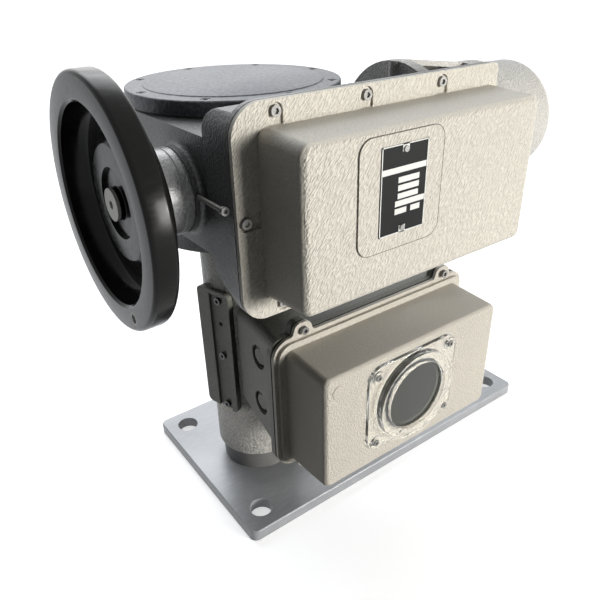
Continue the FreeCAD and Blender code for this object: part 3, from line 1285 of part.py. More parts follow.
def make_handle_insert():
    y, z = handle_centre()
    body = xcyl(HANDLE_R, WHEEL_FRONT, WHEEL_FRONT + HANDLE_DEPTH, y, z)
    return body.cut(xcyl(HANDLE_BORE_R, WHEEL_FRONT - 1, WHEEL_FRONT + HANDLE_DEPTH - 2, y, z))


def hub_face():
    return V(HUB_TIP - HUB_WASHER_T, WORM_Y, WORM_Z)


def make_hub_washer():
    disc = xcyl(HUB_TIP_R, HUB_TIP - HUB_WASHER_T, HUB_TIP)
    r = HUB_SCREW_D / 2
    return disc.cut(Part.makeCone(r + HUB_WASHER_T, r, HUB_WASHER_T, hub_face(), V(1, 0, 0)))


def make_hub_screw():
    return [flat_screw(hub_face(), V(1, 0, 0), HUB_SCREW_D, HUB_SCREW_L, HUB_SCREW_D / 2 + HUB_WASHER_T)]


def make_shaft_coupling():
    body = xcyl(COUPLING_R, COUPLING_X0, COUPLING_X1)
    mid = COUPLING_X0 + 28
    worm_bore = xcyl(WORM_SHAFT_R + COUPLING_FIT, COUPLING_X0 - 1, mid)
    return body.cut(fuse([worm_bore, xcyl(ROTOR_SHAFT_R + COUPLING_FIT, mid - 1, COUPLING_X1 + 1)]))


def make_motor_rotor():
    shaft = xcyl(ROTOR_SHAFT_R, COUPLING_X0 + 32, MOTOR_BRG_B + MOTOR_BRG_T)
    return fuse([shaft, xcyl(ROTOR_R, STACK_X0, STACK_X1)])


NODES = [
    ("base_plate", make_base_plate), ("column_foot", make_column_foot), ("foot_screws", make_foot_screws),
    ("column", make_column), ("column_rail", make_column_rail), ("rail_screws", make_rail_screws),
    ("lower_bush", make_lower_bush), ("gear_case", make_gear_case), ("column_bolts", make_column_bolts),
    ("output_bearing_lower", make_output_bearing_lower),
    ("output_bearing_upper", make_output_bearing_upper), ("cover_gasket", make_cover_gasket),
    ("case_cover", make_case_cover), ("cover_screws", make_cover_screws), ("bearing_cap", make_bearing_cap),
    ("cap_screws", make_cap_screws), ("worm_bearings", make_worm_bearings), ("lock_screw", make_lock_screw),
    ("coupling_lantern", make_lantern), ("lantern_screws", make_lantern_screws),
    ("motor_flange", make_motor_flange), ("motor_housing", make_motor_housing),
    ("motor_screws", make_motor_screws), ("motor_stator", make_motor_stator),
    ("motor_bearings", make_motor_bearings), ("control_housing", make_control_housing),
    ("control_housing_screws", make_control_housing_screws), ("control_gasket", make_control_gasket),
    ("control_cover", make_control_cover), ("control_cover_screws", make_control_cover_screws),
    ("data_plate", make_data_plate), ("plate_pins", make_plate_pins), ("control_board", make_control_board),
    ("motor_capacitor", make_motor_capacitor), ("terminal_housing", make_terminal_housing),
    ("housing_bolts", make_housing_bolts), ("terminal_gasket", make_terminal_gasket),
    ("terminal_cover", make_terminal_cover), ("terminal_cover_screws", make_terminal_cover_screws),
    ("window_frame", make_window_frame), ("window_lens", make_window_lens),
    ("window_screws", make_window_screws), ("display_module", make_display_module),
    ("cable_plugs", make_cable_plugs), ("terminal_block", make_terminal_block),
    ("sensor_body", make_sensor_body), ("sensor_pinion", make_sensor_pinion),
    ("output_shaft", make_output_shaft), ("worm_wheel", make_worm_wheel),
    ("feedback_gear", make_feedback_gear), ("crank_lever", make_crank_lever),
    ("lever_screw", make_lever_screw), ("worm_shaft", make_worm_shaft), ("handwheel", make_handwheel),
    ("hub_washer", make_hub_washer), ("hub_screw", make_hub_screw), ("handle_insert", make_handle_insert),
    ("shaft_coupling", make_shaft_coupling), ("motor_rotor", make_motor_rotor),
]


def main():
    os.makedirs("parts", exist_ok=True)
    for name, maker in NODES:
        made = maker()
        shape = Part.makeCompound(made) if isinstance(made, list) else made
        if not isinstance(made, list) and len(shape.Solids) == 1:
            shape = shape.Solids[0]
        shape.exportStep("parts/" + name + ".step")
        print(name, len(shape.Solids), shape.isValid(), round(shape.Volume / 1000.0, 1))


main()
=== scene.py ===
import json
import math

import bmesh
import bpy
from mathutils import Matrix, Vector

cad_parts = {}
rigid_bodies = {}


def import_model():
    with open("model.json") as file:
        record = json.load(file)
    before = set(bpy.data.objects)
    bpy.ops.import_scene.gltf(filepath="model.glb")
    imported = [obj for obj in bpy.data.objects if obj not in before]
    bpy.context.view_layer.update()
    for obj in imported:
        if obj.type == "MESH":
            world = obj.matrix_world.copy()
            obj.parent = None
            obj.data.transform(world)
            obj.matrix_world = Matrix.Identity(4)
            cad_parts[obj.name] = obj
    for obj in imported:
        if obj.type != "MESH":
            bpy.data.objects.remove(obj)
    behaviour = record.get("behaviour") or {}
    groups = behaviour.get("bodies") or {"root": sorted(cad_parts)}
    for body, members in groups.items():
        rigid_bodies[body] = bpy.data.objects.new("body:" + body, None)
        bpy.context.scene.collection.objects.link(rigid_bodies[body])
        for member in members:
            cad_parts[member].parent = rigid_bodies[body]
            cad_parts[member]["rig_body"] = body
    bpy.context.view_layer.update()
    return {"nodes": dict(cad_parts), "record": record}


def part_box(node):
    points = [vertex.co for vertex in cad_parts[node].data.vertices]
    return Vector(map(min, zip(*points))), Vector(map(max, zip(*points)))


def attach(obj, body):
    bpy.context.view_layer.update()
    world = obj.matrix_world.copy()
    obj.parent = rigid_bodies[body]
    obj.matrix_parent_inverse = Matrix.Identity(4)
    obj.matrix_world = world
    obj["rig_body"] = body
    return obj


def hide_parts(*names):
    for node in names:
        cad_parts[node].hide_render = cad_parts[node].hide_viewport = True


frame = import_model()
nodes = frame["nodes"]
MM = 0.001

# The material slot of each CAD node.
SLOTS = {s["node"]: s.get("material_slot") for s in frame["record"]["subparts"]}

# The camera, solved from the photograph: lens and width of the square view in mm, and its place and
# its axes in the frame. The rows point right, up and back.
CAMERA_LENS = 36.80
CAMERA_VIEW = 36.0
CAMERA_PLACE = (-0.4485, -0.5349, 0.5658)
CAMERA_ROWS = ((0.8071543, -0.58986207, -0.02376275), (0.30184821, 0.37778032, 0.8753112),
               (-0.50733578, -0.71368394, 0.48297582))


# A new object in the scene.
def shown(name, data):
    obj = bpy.data.objects.new(name, data)
    bpy.context.scene.collection.objects.link(obj)
    return obj


def set_camera():
    data = bpy.data.cameras.new("photo_camera")
    data.sensor_fit = "HORIZONTAL"
    data.sensor_width = CAMERA_VIEW
    data.lens = CAMERA_LENS
    data.clip_start = 0.05
    data.clip_end = 20.0
    cam = shown("photo_camera", data)
    m = Matrix(CAMERA_ROWS).transposed().to_4x4()
    m.translation = Vector(CAMERA_PLACE)
    cam.matrix_world = m
    bpy.context.scene.camera = cam


# Shader helpers
def node(tree, kind, **props):
    n = tree.nodes.new(kind)
    for k, v in props.items():
        setattr(n, k, v)
    return n


def sockets(group, ins, outs):
    for name, kind, default in ins:
        s = group.interface.new_socket(name, in_out="INPUT", socket_type=kind)
        s.default_value = default
    for name, kind in outs:
        group.interface.new_socket(name, in_out="OUTPUT", socket_type=kind)


def math_node(tree, op, a, b=None, c=None, clamp=False):
    n = node(tree, "ShaderNodeMath", operation=op, use_clamp=clamp)
    for i, v in enumerate((a, b, c)):
        if v is None:
            continue
        if isinstance(v, (int, float)):
            n.inputs[i].default_value = v
        else:
            tree.links.new(v, n.inputs[i])
    return n.outputs[0]


def mix_color(tree, fac, a, b):
    n = node(tree, "ShaderNodeMix", data_type="RGBA")
    for sock, v in ((n.inputs[0], fac), (n.inputs[6], a), (n.inputs[7], b)):
        if isinstance(v, (int, float)):
            sock.default_value = v
        elif isinstance(v, tuple):
            sock.default_value = (v[0], v[1], v[2], 1.0)
        else:
            tree.links.new(v, sock)
    return n.outputs[2]


def noise(tree, coord, scale, detail, rough=0.5, distortion=0.0):
    n = node(tree, "ShaderNodeTexNoise")
    if isinstance(scale, (int, float)):
        n.inputs["Scale"].default_value = scale
    else:
        tree.links.new(scale, n.inputs["Scale"])
    n.inputs["Detail"].default_value = detail
    n.inputs["Roughness"].default_value = rough
    n.inputs["Distortion"].default_value = distortion
    tree.links.new(coord, n.inputs["Vector"])
    return n


# Hammered enamel: short slanting wrinkles over broad low lumps. Height feeds Bump, and Lump shades
# the colour.
def build_hammer_group():
    g = bpy.data.node_groups.new("hammered_enamel", "ShaderNodeTree")
    sockets(g, [("Vector", "NodeSocketVector", (0, 0, 0)),
                ("Grain Scale", "NodeSocketFloat", 430.0),
                ("Stretch", "NodeSocketFloat", 0.4),
                ("Lumps", "NodeSocketFloat", 0.5),
                ("Lump Scale", "NodeSocketFloat", 90.0)],
            [("Height", "NodeSocketFloat"), ("Lump", "NodeSocketFloat")])
    i = node(g, "NodeGroupInput")
    o = node(g, "NodeGroupOutput")
    turn = node(g, "ShaderNodeMapping")
    turn.inputs["Rotation"].default_value = (0.5, 0.80, 0.3)
    g.links.new(i.outputs["Vector"], turn.inputs["Vector"])
    along = node(g, "ShaderNodeCombineXYZ")
    along.inputs["Y"].default_value = 1.0
    along.inputs["Z"].default_value = 1.0
    g.links.new(i.outputs["Stretch"], along.inputs["X"])
    pulled = node(g, "ShaderNodeVectorMath", operation="MULTIPLY")
    g.links.new(turn.outputs["Vector"], pulled.inputs[0])
    g.links.new(along.outputs["Vector"], pulled.inputs[1])
    grain = noise(g, pulled.outputs["Vector"], i.outputs["Grain Scale"], 1.5, 0.45, 0.25)
    cells = node(g, "ShaderNodeTexVoronoi", feature="SMOOTH_F1")
    cells.inputs["Smoothness"].default_value = 0.7
    g.links.new(i.outputs["Vector"], cells.inputs["Vector"])
    g.links.new(i.outputs["Lump Scale"], cells.inputs["Scale"])
    wrinkle = math_node(g, "MULTIPLY_ADD", grain.outputs["Fac"], 3.2, -1.1, True)
    height = math_node(g, "MULTIPLY_ADD", cells.outputs["Distance"], i.outputs["Lumps"], wrinkle)
    g.links.new(height, o.inputs["Height"])
    g.links.new(wrinkle, o.inputs["Lump"])
    return g


# Handling marks: broad cloudiness and fine scuffs, each as a mask between 0 and 1.
def build_wear_group():
    g = bpy.data.node_groups.new("handling_marks", "ShaderNodeTree")
    sockets(g, [("Vector", "NodeSocketVector", (0, 0, 0)),
                ("Cloud Scale", "NodeSocketFloat", 12.0),
                ("Scuff Scale", "NodeSocketFloat", 260.0)],
            [("Cloud", "NodeSocketFloat"), ("Scuff", "NodeSocketFloat")])
    i = node(g, "NodeGroupInput")
    o = node(g, "NodeGroupOutput")
    cloud = noise(g, i.outputs["Vector"], i.outputs["Cloud Scale"], 4.0)
    stretch = node(g, "ShaderNodeMapping")
    stretch.inputs["Scale"].default_value = (0.25, 1.0, 1.0)
    stretch.inputs["Rotation"].default_value = (0.3, 0.2, 0.7)
    g.links.new(i.outputs["Vector"], stretch.inputs["Vector"])
    scuff = noise(g, stretch.outputs["Vector"], i.outputs["Scuff Scale"], 6.0, 0.7)
    clouds = math_node(g, "MULTIPLY_ADD", cloud.outputs["Fac"], 2.0, -0.5, True)
    scuffs = math_node(g, "MULTIPLY_ADD", scuff.outputs["Fac"], 4.0, -1.9, True)
    g.links.new(clouds, o.inputs["Cloud"])
    g.links.new(scuffs, o.inputs["Scuff"])
    return g


HAMMER = build_hammer_group()
WEAR = build_wear_group()
# Where an enamel has painted shade above a height, SHADE_RAGGED is how far in m its marks shift the
# border, and
# SHADE_SHARPNESS is how fast the painted shade turns into the lit tones. SIDE_GRAIN is the share of
# the grain that smooth sides keep.
SHADE_RAGGED = 0.012
SHADE_SHARPNESS = 90.0
SIDE_GRAIN = 0.15
materials = {}


# A new material with one Principled shader: gives the tree, the shader and the object coordinates.
def start(name):
    m = bpy.data.materials.new(name)
    m.use_nodes = True
    t = m.node_tree
    for n in list(t.nodes):
        t.nodes.remove(n)
    out = node(t, "ShaderNodeOutputMaterial")
    p = node(t, "ShaderNodeBsdfPrincipled")
    t.links.new(p.outputs[0], out.inputs[0])
    tc = node(t, "ShaderNodeTexCoord")
    materials[name] = m
    return t, p, tc.outputs["Object"]


def group(tree, which, coord, **values):
    n = node(tree, "ShaderNodeGroup")
    n.node_tree = which
    tree.links.new(coord, n.inputs["Vector"])
    for k, v in values.items():
        n.inputs[k.replace("_", " ")].default_value = v
    return n


def bump(tree, height, distance, strength, p):
    b = node(tree, "ShaderNodeBump")
    b.inputs["Distance"].default_value = distance
    b.inputs["Strength"].default_value = strength
    tree.links.new(height, b.inputs["Height"])
    tree.links.new(b.outputs["Normal"], p.inputs["Normal"])


# Enamel on castings. shade_above gives a height in m: above it the light and dark tones are painted
# shade, from the parts above, and below it the piece has two other, lit tones;
# smooth_sides keeps the full grain for the faces that look along -Y.
def enamel(name, light, dark, grain, depth, rough, metal=0.0, gloss=0.2, stretch=0.4, lumps=0.3,
           shade_above=None, smooth_sides=False):
    t, p, co = start(name)
    h = group(t, HAMMER, co, Grain_Scale=grain, Stretch=stretch, Lumps=lumps)
    w = group(t, WEAR, co)
    tone = math_node(t, "MULTIPLY_ADD", h.outputs["Lump"], 0.75, 0.05, True)
    tone = math_node(t, "MULTIPLY_ADD", w.outputs["Cloud"], 0.25, tone, True)
    base = mix_color(t, tone, dark, light)
    if shade_above:
        level, low_light, low_dark = shade_above
        # Painted shade: above the level the piece keeps the darker tones, standing for the shadow
        # of the parts above; below it the two low tones are the lit paint.
        z = node(t, "ShaderNodeSeparateXYZ")
        t.links.new(co, z.inputs[0])
        shade_border = math_node(t, "MULTIPLY_ADD", w.outputs["Cloud"], SHADE_RAGGED, z.outputs["Z"])
        offset = -SHADE_SHARPNESS * level
        shaded_upper = math_node(t, "MULTIPLY_ADD", shade_border, SHADE_SHARPNESS, offset, True)
        base = mix_color(t, shaded_upper, mix_color(t, tone, low_dark, low_light), base)
    t.links.new(base, p.inputs["Base Color"])
    r = math_node(t, "MULTIPLY_ADD", w.outputs["Cloud"], 0.14, rough - 0.05, True)
    t.links.new(r, p.inputs["Roughness"])
    p.inputs["Metallic"].default_value = metal
    p.inputs["Specular IOR Level"].default_value = gloss
    height = h.outputs["Height"]
    if smooth_sides:
        faces = node(t, "ShaderNodeTexCoord")
        way = node(t, "ShaderNodeSeparateXYZ")
        t.links.new(faces.outputs["Normal"], way.inputs[0])
        front = math_node(t, "MULTIPLY_ADD", way.outputs["Y"], -4.0, -3.0, True)
        share = math_node(t, "MULTIPLY_ADD", front, 1.0 - SIDE_GRAIN, SIDE_GRAIN)
        height = math_node(t, "MULTIPLY", height, share)
    bump(t, height, depth, 0.8, p)


# Plain metal, paint, rubber and plastic, with light scuffs.
def satin(name, light, dark, rough, metal=0.0, gloss=0.4, grain=900.0, depth=0.00012, scuffs=0.2):
    t, p, co = start(name)
    w = group(t, WEAR, co)
    n = noise(t, co, grain, 3.0)
    tone = math_node(t, "MULTIPLY_ADD", w.outputs["Cloud"], 0.8, 0.1, True)
    base = mix_color(t, tone, dark, light)
    rubbed = tuple(min(1, c * 1.35 + 0.04) for c in light)
    base = mix_color(t, math_node(t, "MULTIPLY", w.outputs["Scuff"], scuffs), base, rubbed)
    t.links.new(base, p.inputs["Base Color"])
    r = math_node(t, "MULTIPLY_ADD", w.outputs["Scuff"], 0.12, rough, True)
    t.links.new(r, p.inputs["Roughness"])
    p.inputs["Metallic"].default_value = metal
    p.inputs["Specular IOR Level"].default_value = gloss
    bump(t, n.outputs["Fac"], depth, 0.4, p)


# Clear plastic and glass. shade is how solid it is for the rays that cast shadows, and wave is the
# depth of its ripples in m.
def clear(name, tint, rough, weight, ior, shade, wave=0.0, scuffs=0.08):
    t, p, co = start(name)
    w = group(t, WEAR, co, Scuff_Scale=500.0)
    r = math_node(t, "MULTIPLY_ADD", w.outputs["Scuff"], scuffs, rough, True)
    t.links.new(r, p.inputs["Roughness"])
    cloudy = tuple(c * 0.94 for c in tint)
    t.links.new(mix_color(t, w.outputs["Cloud"], cloudy, tint), p.inputs["Base Color"])
    p.inputs["Transmission Weight"].default_value = weight
    p.inputs["IOR"].default_value = ior
    lp = node(t, "ShaderNodeLightPath")
    opacity = math_node(t, "MULTIPLY_ADD", lp.outputs["Is Shadow Ray"], shade - 1.0, 1.0)
    t.links.new(opacity, p.inputs["Alpha"])
    if wave:
        bump(t, noise(t, co, 170.0, 1.0, distortion=0.6).outputs["Fac"], wave, 0.5, p)


def make_materials():
    enamel("hammered_silver", (0.73, 0.69, 0.61), (0.62, 0.588, 0.52), 720.0, 0.0011, 0.46,
           gloss=0.15, stretch=0.35, smooth_sides=True)
    enamel("hammered_silver_fine", (0.66, 0.62, 0.545), (0.57, 0.535, 0.47), 900.0, 0.0008, 0.46,
           gloss=0.12, stretch=0.6, smooth_sides=True)
    # The column: its dark upper part is painted shade from the case and boxes above; below 0.112 m
    # it has its lit silver tones.
    enamel("hammered_column_painted_shade", (0.15, 0.15, 0.13), (0.10, 0.10, 0.088), 420.0, 0.0008, 0.34,
           metal=0.2, lumps=0.4, shade_above=(0.112, (0.60, 0.58, 0.54), (0.40, 0.385, 0.36)))
    enamel("hammered_motor", (0.68, 0.66, 0.62), (0.54, 0.525, 0.49), 600.0, 0.0009, 0.42,
           stretch=0.7)
    enamel("hammered_dark", (0.15, 0.152, 0.153), (0.105, 0.106, 0.107), 560.0, 0.00024, 0.38,
           metal=0.15, gloss=0.3, stretch=0.8, lumps=0.8)
    enamel("hammered_neck", (0.40, 0.40, 0.40), (0.25, 0.25, 0.25), 600.0, 0.00015, 0.30,
           metal=0.45, stretch=0.8, lumps=0.4)
    enamel("olive_housing", (0.17, 0.17, 0.145), (0.125, 0.125, 0.107), 700.0, 0.0004, 0.42,
           metal=0.1, stretch=0.8)
    enamel("case_cover_grey", (0.215, 0.222, 0.24), (0.125, 0.13, 0.142), 330.0, 0.00025, 0.42,
           metal=0.2, gloss=0.15, stretch=0.9)
    satin("plate_silver", (0.40, 0.41, 0.425), (0.29, 0.297, 0.31), 0.34, metal=0.3, scuffs=0.3)
    satin("foot_grey", (0.22, 0.217, 0.21), (0.16, 0.157, 0.153), 0.42, metal=0.2)
    satin("stainless", (0.25, 0.245, 0.235), (0.16, 0.157, 0.15), 0.58, metal=1.0, grain=1800.0)
    satin("dull_screw", (0.10, 0.10, 0.10), (0.05, 0.05, 0.05), 0.35, metal=0.8, grain=1800.0)
    satin("machined_steel", (0.60, 0.60, 0.61), (0.45, 0.45, 0.46), 0.28, metal=1.0, grain=1500.0)
    satin("bearing_ring", (0.72, 0.72, 0.74), (0.60, 0.60, 0.62), 0.15, metal=1.0)
    satin("bronze", (0.60, 0.36, 0.13), (0.42, 0.24, 0.09), 0.30, metal=1.0)
    satin("seal_rubber", (0.022, 0.022, 0.022), (0.012, 0.012, 0.012), 0.65)
    satin("wheel_black", (0.010, 0.0095, 0.009), (0.005, 0.005, 0.005), 0.17, gloss=0.12,
          depth=0.00002, scuffs=0.05)
    satin("iron_core", (0.26, 0.27, 0.29), (0.16, 0.17, 0.18), 0.45, metal=0.8)
    satin("label_black", (0.012, 0.012, 0.012), (0.008, 0.008, 0.008), 0.5, gloss=0.1,
          depth=0.00003, scuffs=0.05)
    satin("label_white", (0.80, 0.80, 0.77), (0.72, 0.72, 0.69), 0.4, depth=0.00003, scuffs=0.1)
    satin("board_green", (0.02, 0.14, 0.06), (0.01, 0.09, 0.04), 0.45)
    satin("can_white", (0.74, 0.73, 0.70), (0.64, 0.63, 0.60), 0.42)
    satin("moulded_grey", (0.30, 0.32, 0.30), (0.22, 0.24, 0.22), 0.5)
    satin("display_dark", (0.020, 0.022, 0.020), (0.010, 0.012, 0.010), 0.35)
    satin("lever_grey", (0.30, 0.31, 0.32), (0.20, 0.21, 0.22), 0.42, metal=0.4)
    satin("seam_shadow", (0.20, 0.185, 0.155), (0.15, 0.14, 0.12), 0.6, gloss=0.1)
    clear("clear_moulding", (0.86, 0.86, 0.84), 0.02, 1.0, 1.49, 0.25, wave=0.0012)
    clear("tinted_glass", (0.15, 0.155, 0.12), 0.03, 0.9, 1.5, 0.4, scuffs=0.01)


# The finish of each material slot, and of the nodes that differ from their slot's.
SLOT_FINISH = {
    "plate_paint": "plate_silver", "hammer_silver": "hammered_silver",
    "hammer_dark": "hammered_dark", "cover_paint": "case_cover_grey", "foot_paint": "foot_grey",
    "screw_steel": "stainless", "machined_steel": "machined_steel",
    "bearing_steel": "bearing_ring", "bronze": "bronze", "gasket_rubber": "seal_rubber",
    "handwheel_black": "wheel_black", "core_steel": "iron_core", "plate_black": "label_black",
    "board_green": "board_green", "capacitor_can": "can_white", "clear_window": "clear_moulding",
    "dark_glass": "tinted_glass", "display_black": "display_dark",
    "terminal_grey": "moulded_grey", "lever_paint": "lever_grey",
}
NODE_FINISH = {
    "terminal_housing": "olive_housing", "column_rail": "olive_housing",
    "cable_plugs": "olive_housing", "motor_housing": "hammered_motor",
    "motor_flange": "hammered_motor", "coupling_lantern": "hammered_motor",
    "column": "hammered_column_painted_shade", "bearing_cap": "hammered_neck",
    "terminal_cover": "hammered_silver_fine", "rail_screws": "dull_screw",
    "cover_screws": "dull_screw",
}


def dress_nodes():
    for name, obj in nodes.items():
        finish = NODE_FINISH.get(name) or SLOT_FINISH[SLOTS[name]]
        obj.data.materials.clear()
        obj.data.materials.append(materials[finish])


# Angles between two faces in degrees: under FLAT they are one face, over SHARP there is an edge.
FLAT = 0.05
SHARP = 32.0
MERGE = 1e-5        # corners nearer than this, in m, are one
# Width of the rounded edges in mm, for the nodes whose edges show.
SOFT_EDGES = {
    "base_plate": 0.6, "column": 0.6, "column_foot": 0.5, "gear_case": 0.8, "case_cover": 0.5,
    "bearing_cap": 0.5, "control_housing": 0.6, "control_cover": 0.7, "terminal_housing": 0.6,
    "terminal_cover": 0.7, "motor_flange": 0.6, "motor_housing": 0.6, "coupling_lantern": 0.6,
    "column_rail": 0.5, "window_frame": 0.4, "crank_lever": 0.6, "cable_plugs": 0.3,
}
# The window frame's back stands off the cover by this much in m, so that the two surfaces don't
# coincide.
WINDOW_LIFT = 0.0001


# A softened copy of a CAD node: flat triangles merged, edges rounded, smooth shading between them.
def soften(name, width):
    src = nodes[name]
    bm = bmesh.new()
    bm.from_mesh(src.data)
    bmesh.ops.remove_doubles(bm, verts=bm.verts, dist=MERGE)
    bmesh.ops.dissolve_limit(bm, angle_limit=math.radians(FLAT), verts=bm.verts, edges=bm.edges)
    if name == "window_frame":
        back = max(v.co.y for v in bm.verts)
        for v in bm.verts:
            if v.co.y > back - MERGE:
                v.co.y -= WINDOW_LIFT
    mesh = bpy.data.meshes.new(name + "_soft")
    bm.to_mesh(mesh)
    bm.free()
    obj = shown(name + "_soft", mesh)
    for m in src.data.materials:
        mesh.materials.append(m)
    mesh.shade_smooth()
    mesh.set_sharp_from_angle(angle=math.radians(SHARP))
    b = obj.modifiers.new("edge_round", "BEVEL")
    b.width = width * MM
    b.segments = 2
    b.limit_method = "ANGLE"
    b.angle_limit = math.radians(SHARP)
    b.harden_normals = True
    b.use_clamp_overlap = True
    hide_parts(name)
    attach(obj, src["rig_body"])


# Rounds the corners of a closed outline: points are (a, b, radius), and each corner becomes an arc.
def rounded(points, steps=5):
    out = []
    n = len(points)
    for i, (a, b, r) in enumerate(points):
        here = Vector((a, b))
        if r <= 0:
            out.append(here)
            continue
        before = Vector(points[i - 1][:2]) - here
        after = Vector(points[(i + 1) % n][:2]) - here
        half = before.angle(after) / 2
        cut = min(r / math.tan(half), before.length * 0.5, after.length * 0.5)
        bow = cut * math.tan(half)
        inward = (before.normalized() + after.normalized()).normalized()
        middle = here + inward * (bow / math.sin(half))
        first = here + before.normalized() * cut - middle
        last = here + after.normalized() * cut - middle
        turn = first.angle_signed(last)
        for k in range(steps + 1):
            f = -turn * k / steps
            c, d = math.cos(f), math.sin(f)
            out.append(middle + Vector((first.x * c - first.y * d, first.x * d + first.y * c)))
    return out


def outline_mesh(name, points):
    mesh = bpy.data.meshes.new(name)
    last = len(points) - 1
    mesh.from_pydata(points, [(i, i + 1) for i in range(last)] + [(last, 0)], [])
    return mesh


def geometry_tree(name, inputs):
    t = bpy.data.node_groups.new(name, "GeometryNodeTree")
    t.interface.new_socket("Geometry", in_out="INPUT", socket_type="NodeSocketGeometry")
    for label, kind, default in inputs:
        t.interface.new_socket(label, in_out="INPUT", socket_type=kind).default_value = default
    t.interface.new_socket("Geometry", in_out="OUTPUT", socket_type="NodeSocketGeometry")
    return t, node(t, "NodeGroupInput"), node(t, "NodeGroupOutput")


def close_tree(t, out, geometry, finish):
    real = node(t, "GeometryNodeRealizeInstances")
    t.links.new(geometry, real.inputs[0])
    paint = node(t, "GeometryNodeSetMaterial")
    paint.inputs["Material"].default_value = materials[finish]
    t.links.new(real.outputs[0], paint.inputs["Geometry"])
    t.links.new(paint.outputs[0], out.inputs[0])


# Runs a tree on a mesh with the given inputs, and gives the plain result as a new object.
def grown(name, mesh, tree, finish, **inputs):
    holder = shown(name + "_outline", mesh)
    m = holder.modifiers.new("tree", "NODES")
    m.node_group = tree
    ids = {s.name: s.identifier for s in tree.interface.items_tree if s.in_out == "INPUT"}
    for label, v in inputs.items():
        m[ids[label.replace("_", " ")]] = v
    held = holder.evaluated_get(bpy.context.evaluated_depsgraph_get())
    result = bpy.data.meshes.new_from_object(held)
    result.name = name
    holder.modifiers.remove(m)
    bpy.data.objects.remove(holder)
    result.materials.clear()
    result.materials.append(materials[finish])
    return shown(name, result)


# A turned piece: the outline in (radius, height) is swept round and laid along X at a centre.
def turned_tree():
    t, i, o = geometry_tree("turned_piece", [("Sections", "NodeSocketInt", 96),
                                             ("Centre", "NodeSocketVector", (0, 0, 0))])
    edge = node(t, "GeometryNodeMeshToCurve")
    t.links.new(i.outputs["Geometry"], edge.inputs[0])
    path = node(t, "GeometryNodeCurvePrimitiveCircle")
    path.inputs["Radius"].default_value = 0.000001
    t.links.new(i.outputs["Sections"], path.inputs["Resolution"])
    sweep = node(t, "GeometryNodeCurveToMesh")
    t.links.new(path.outputs[0], sweep.inputs["Curve"])
    t.links.new(edge.outputs[0], sweep.inputs["Profile Curve"])
    lay = node(t, "GeometryNodeTransform")
    lay.inputs["Rotation"].default_value = (0.0, math.radians(-90), 0.0)
    t.links.new(sweep.outputs[0], lay.inputs["Geometry"])
    t.links.new(i.outputs["Centre"], lay.inputs["Translation"])
    close_tree(t, o, lay.outputs[0], "wheel_black")
    return t


# A bead: the outline is followed by a thin round rod in seam_shadow, a dark line of painted shade.
def bead_tree():
    t, i, o = geometry_tree("bead_along_outline", [("Bead Radius", "NodeSocketFloat", 0.0004),
                                                   ("Sides", "NodeSocketInt", 8)])
    edge = node(t, "GeometryNodeMeshToCurve")
    t.links.new(i.outputs["Geometry"], edge.inputs[0])
    rod = node(t, "GeometryNodeCurvePrimitiveCircle")
    t.links.new(i.outputs["Bead Radius"], rod.inputs["Radius"])
    t.links.new(i.outputs["Sides"], rod.inputs["Resolution"])
    sweep = node(t, "GeometryNodeCurveToMesh")
    t.links.new(edge.outputs[0], sweep.inputs["Curve"])
    t.links.new(rod.outputs[0], sweep.inputs["Profile Curve"])
    close_tree(t, o, sweep.outputs[0], "seam_shadow")
    return t


# Merged corners, normals outward, and smooth shading up to the given angle.
def tidy_normals(mesh, angle):
    bm = bmesh.new()
    bm.from_mesh(mesh)
    bmesh.ops.remove_doubles(bm, verts=bm.verts, dist=1e-6)
    bmesh.ops.recalc_face_normals(bm, faces=bm.faces)
    bm.to_mesh(mesh)
    bm.free()
    mesh.shade_smooth()
    mesh.set_sharp_from_angle(angle=math.radians(angle))


# The handwheel's outline in mm: radius, distance from its back face towards the hand, and radius of
# the corner.
WHEEL_OUTLINE = [
    (10.0, 0.0, 0), (10.0, 29.5, 0), (13.0, 29.5, 0.6), (13.0, 25.0, 1), (28.5, 25.0, 0),
    (28.5, 28.0, 0), (46.0, 28.0, 3), (58.0, 19.5, 9), (74.0, 20.5, 6), (78.0, 28.0, 0),
    (78.0, 41.5, 0), (80.0, 43.5, 1.2), (100.0, 43.5, 3.5), (100.0, 23.5, 4), (86.0, 23.5, 3),
    (72.0, 11.5, 8), (24.0, 11.5, 4), (20.0, 4.0, 2), (20.0, 0.0, 1),
]
WHEEL_SECTIONS = 144
WHEEL_SHARP = 30.0      # degrees
# The drill for the handle's insert: its sides, its length and how far its middle is from the
# insert's low end, both in m.
DRILL_SIDES = 40
DRILL_LENGTH = 0.016
DRILL_INSET = 0.006


# A cylinder along X where the handle's insert sits.
def handle_drill():
    low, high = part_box("handle_insert")
    r = (high[1] - low[1]) / 2
    middle = (low[0] + DRILL_INSET, (low[1] + high[1]) / 2, (low[2] + high[2]) / 2)
    place = Matrix.Translation(middle) @ Matrix.Rotation(math.pi / 2, 4, "Y")
    bm = bmesh.new()
    bmesh.ops.create_cone(bm, cap_ends=True, segments=DRILL_SIDES, radius1=r, radius2=r,
                          depth=DRILL_LENGTH, matrix=place)
    hole = bpy.data.meshes.new("handle_hole")
    bm.to_mesh(hole)
    bm.free()
    return shown("handle_hole", hole)


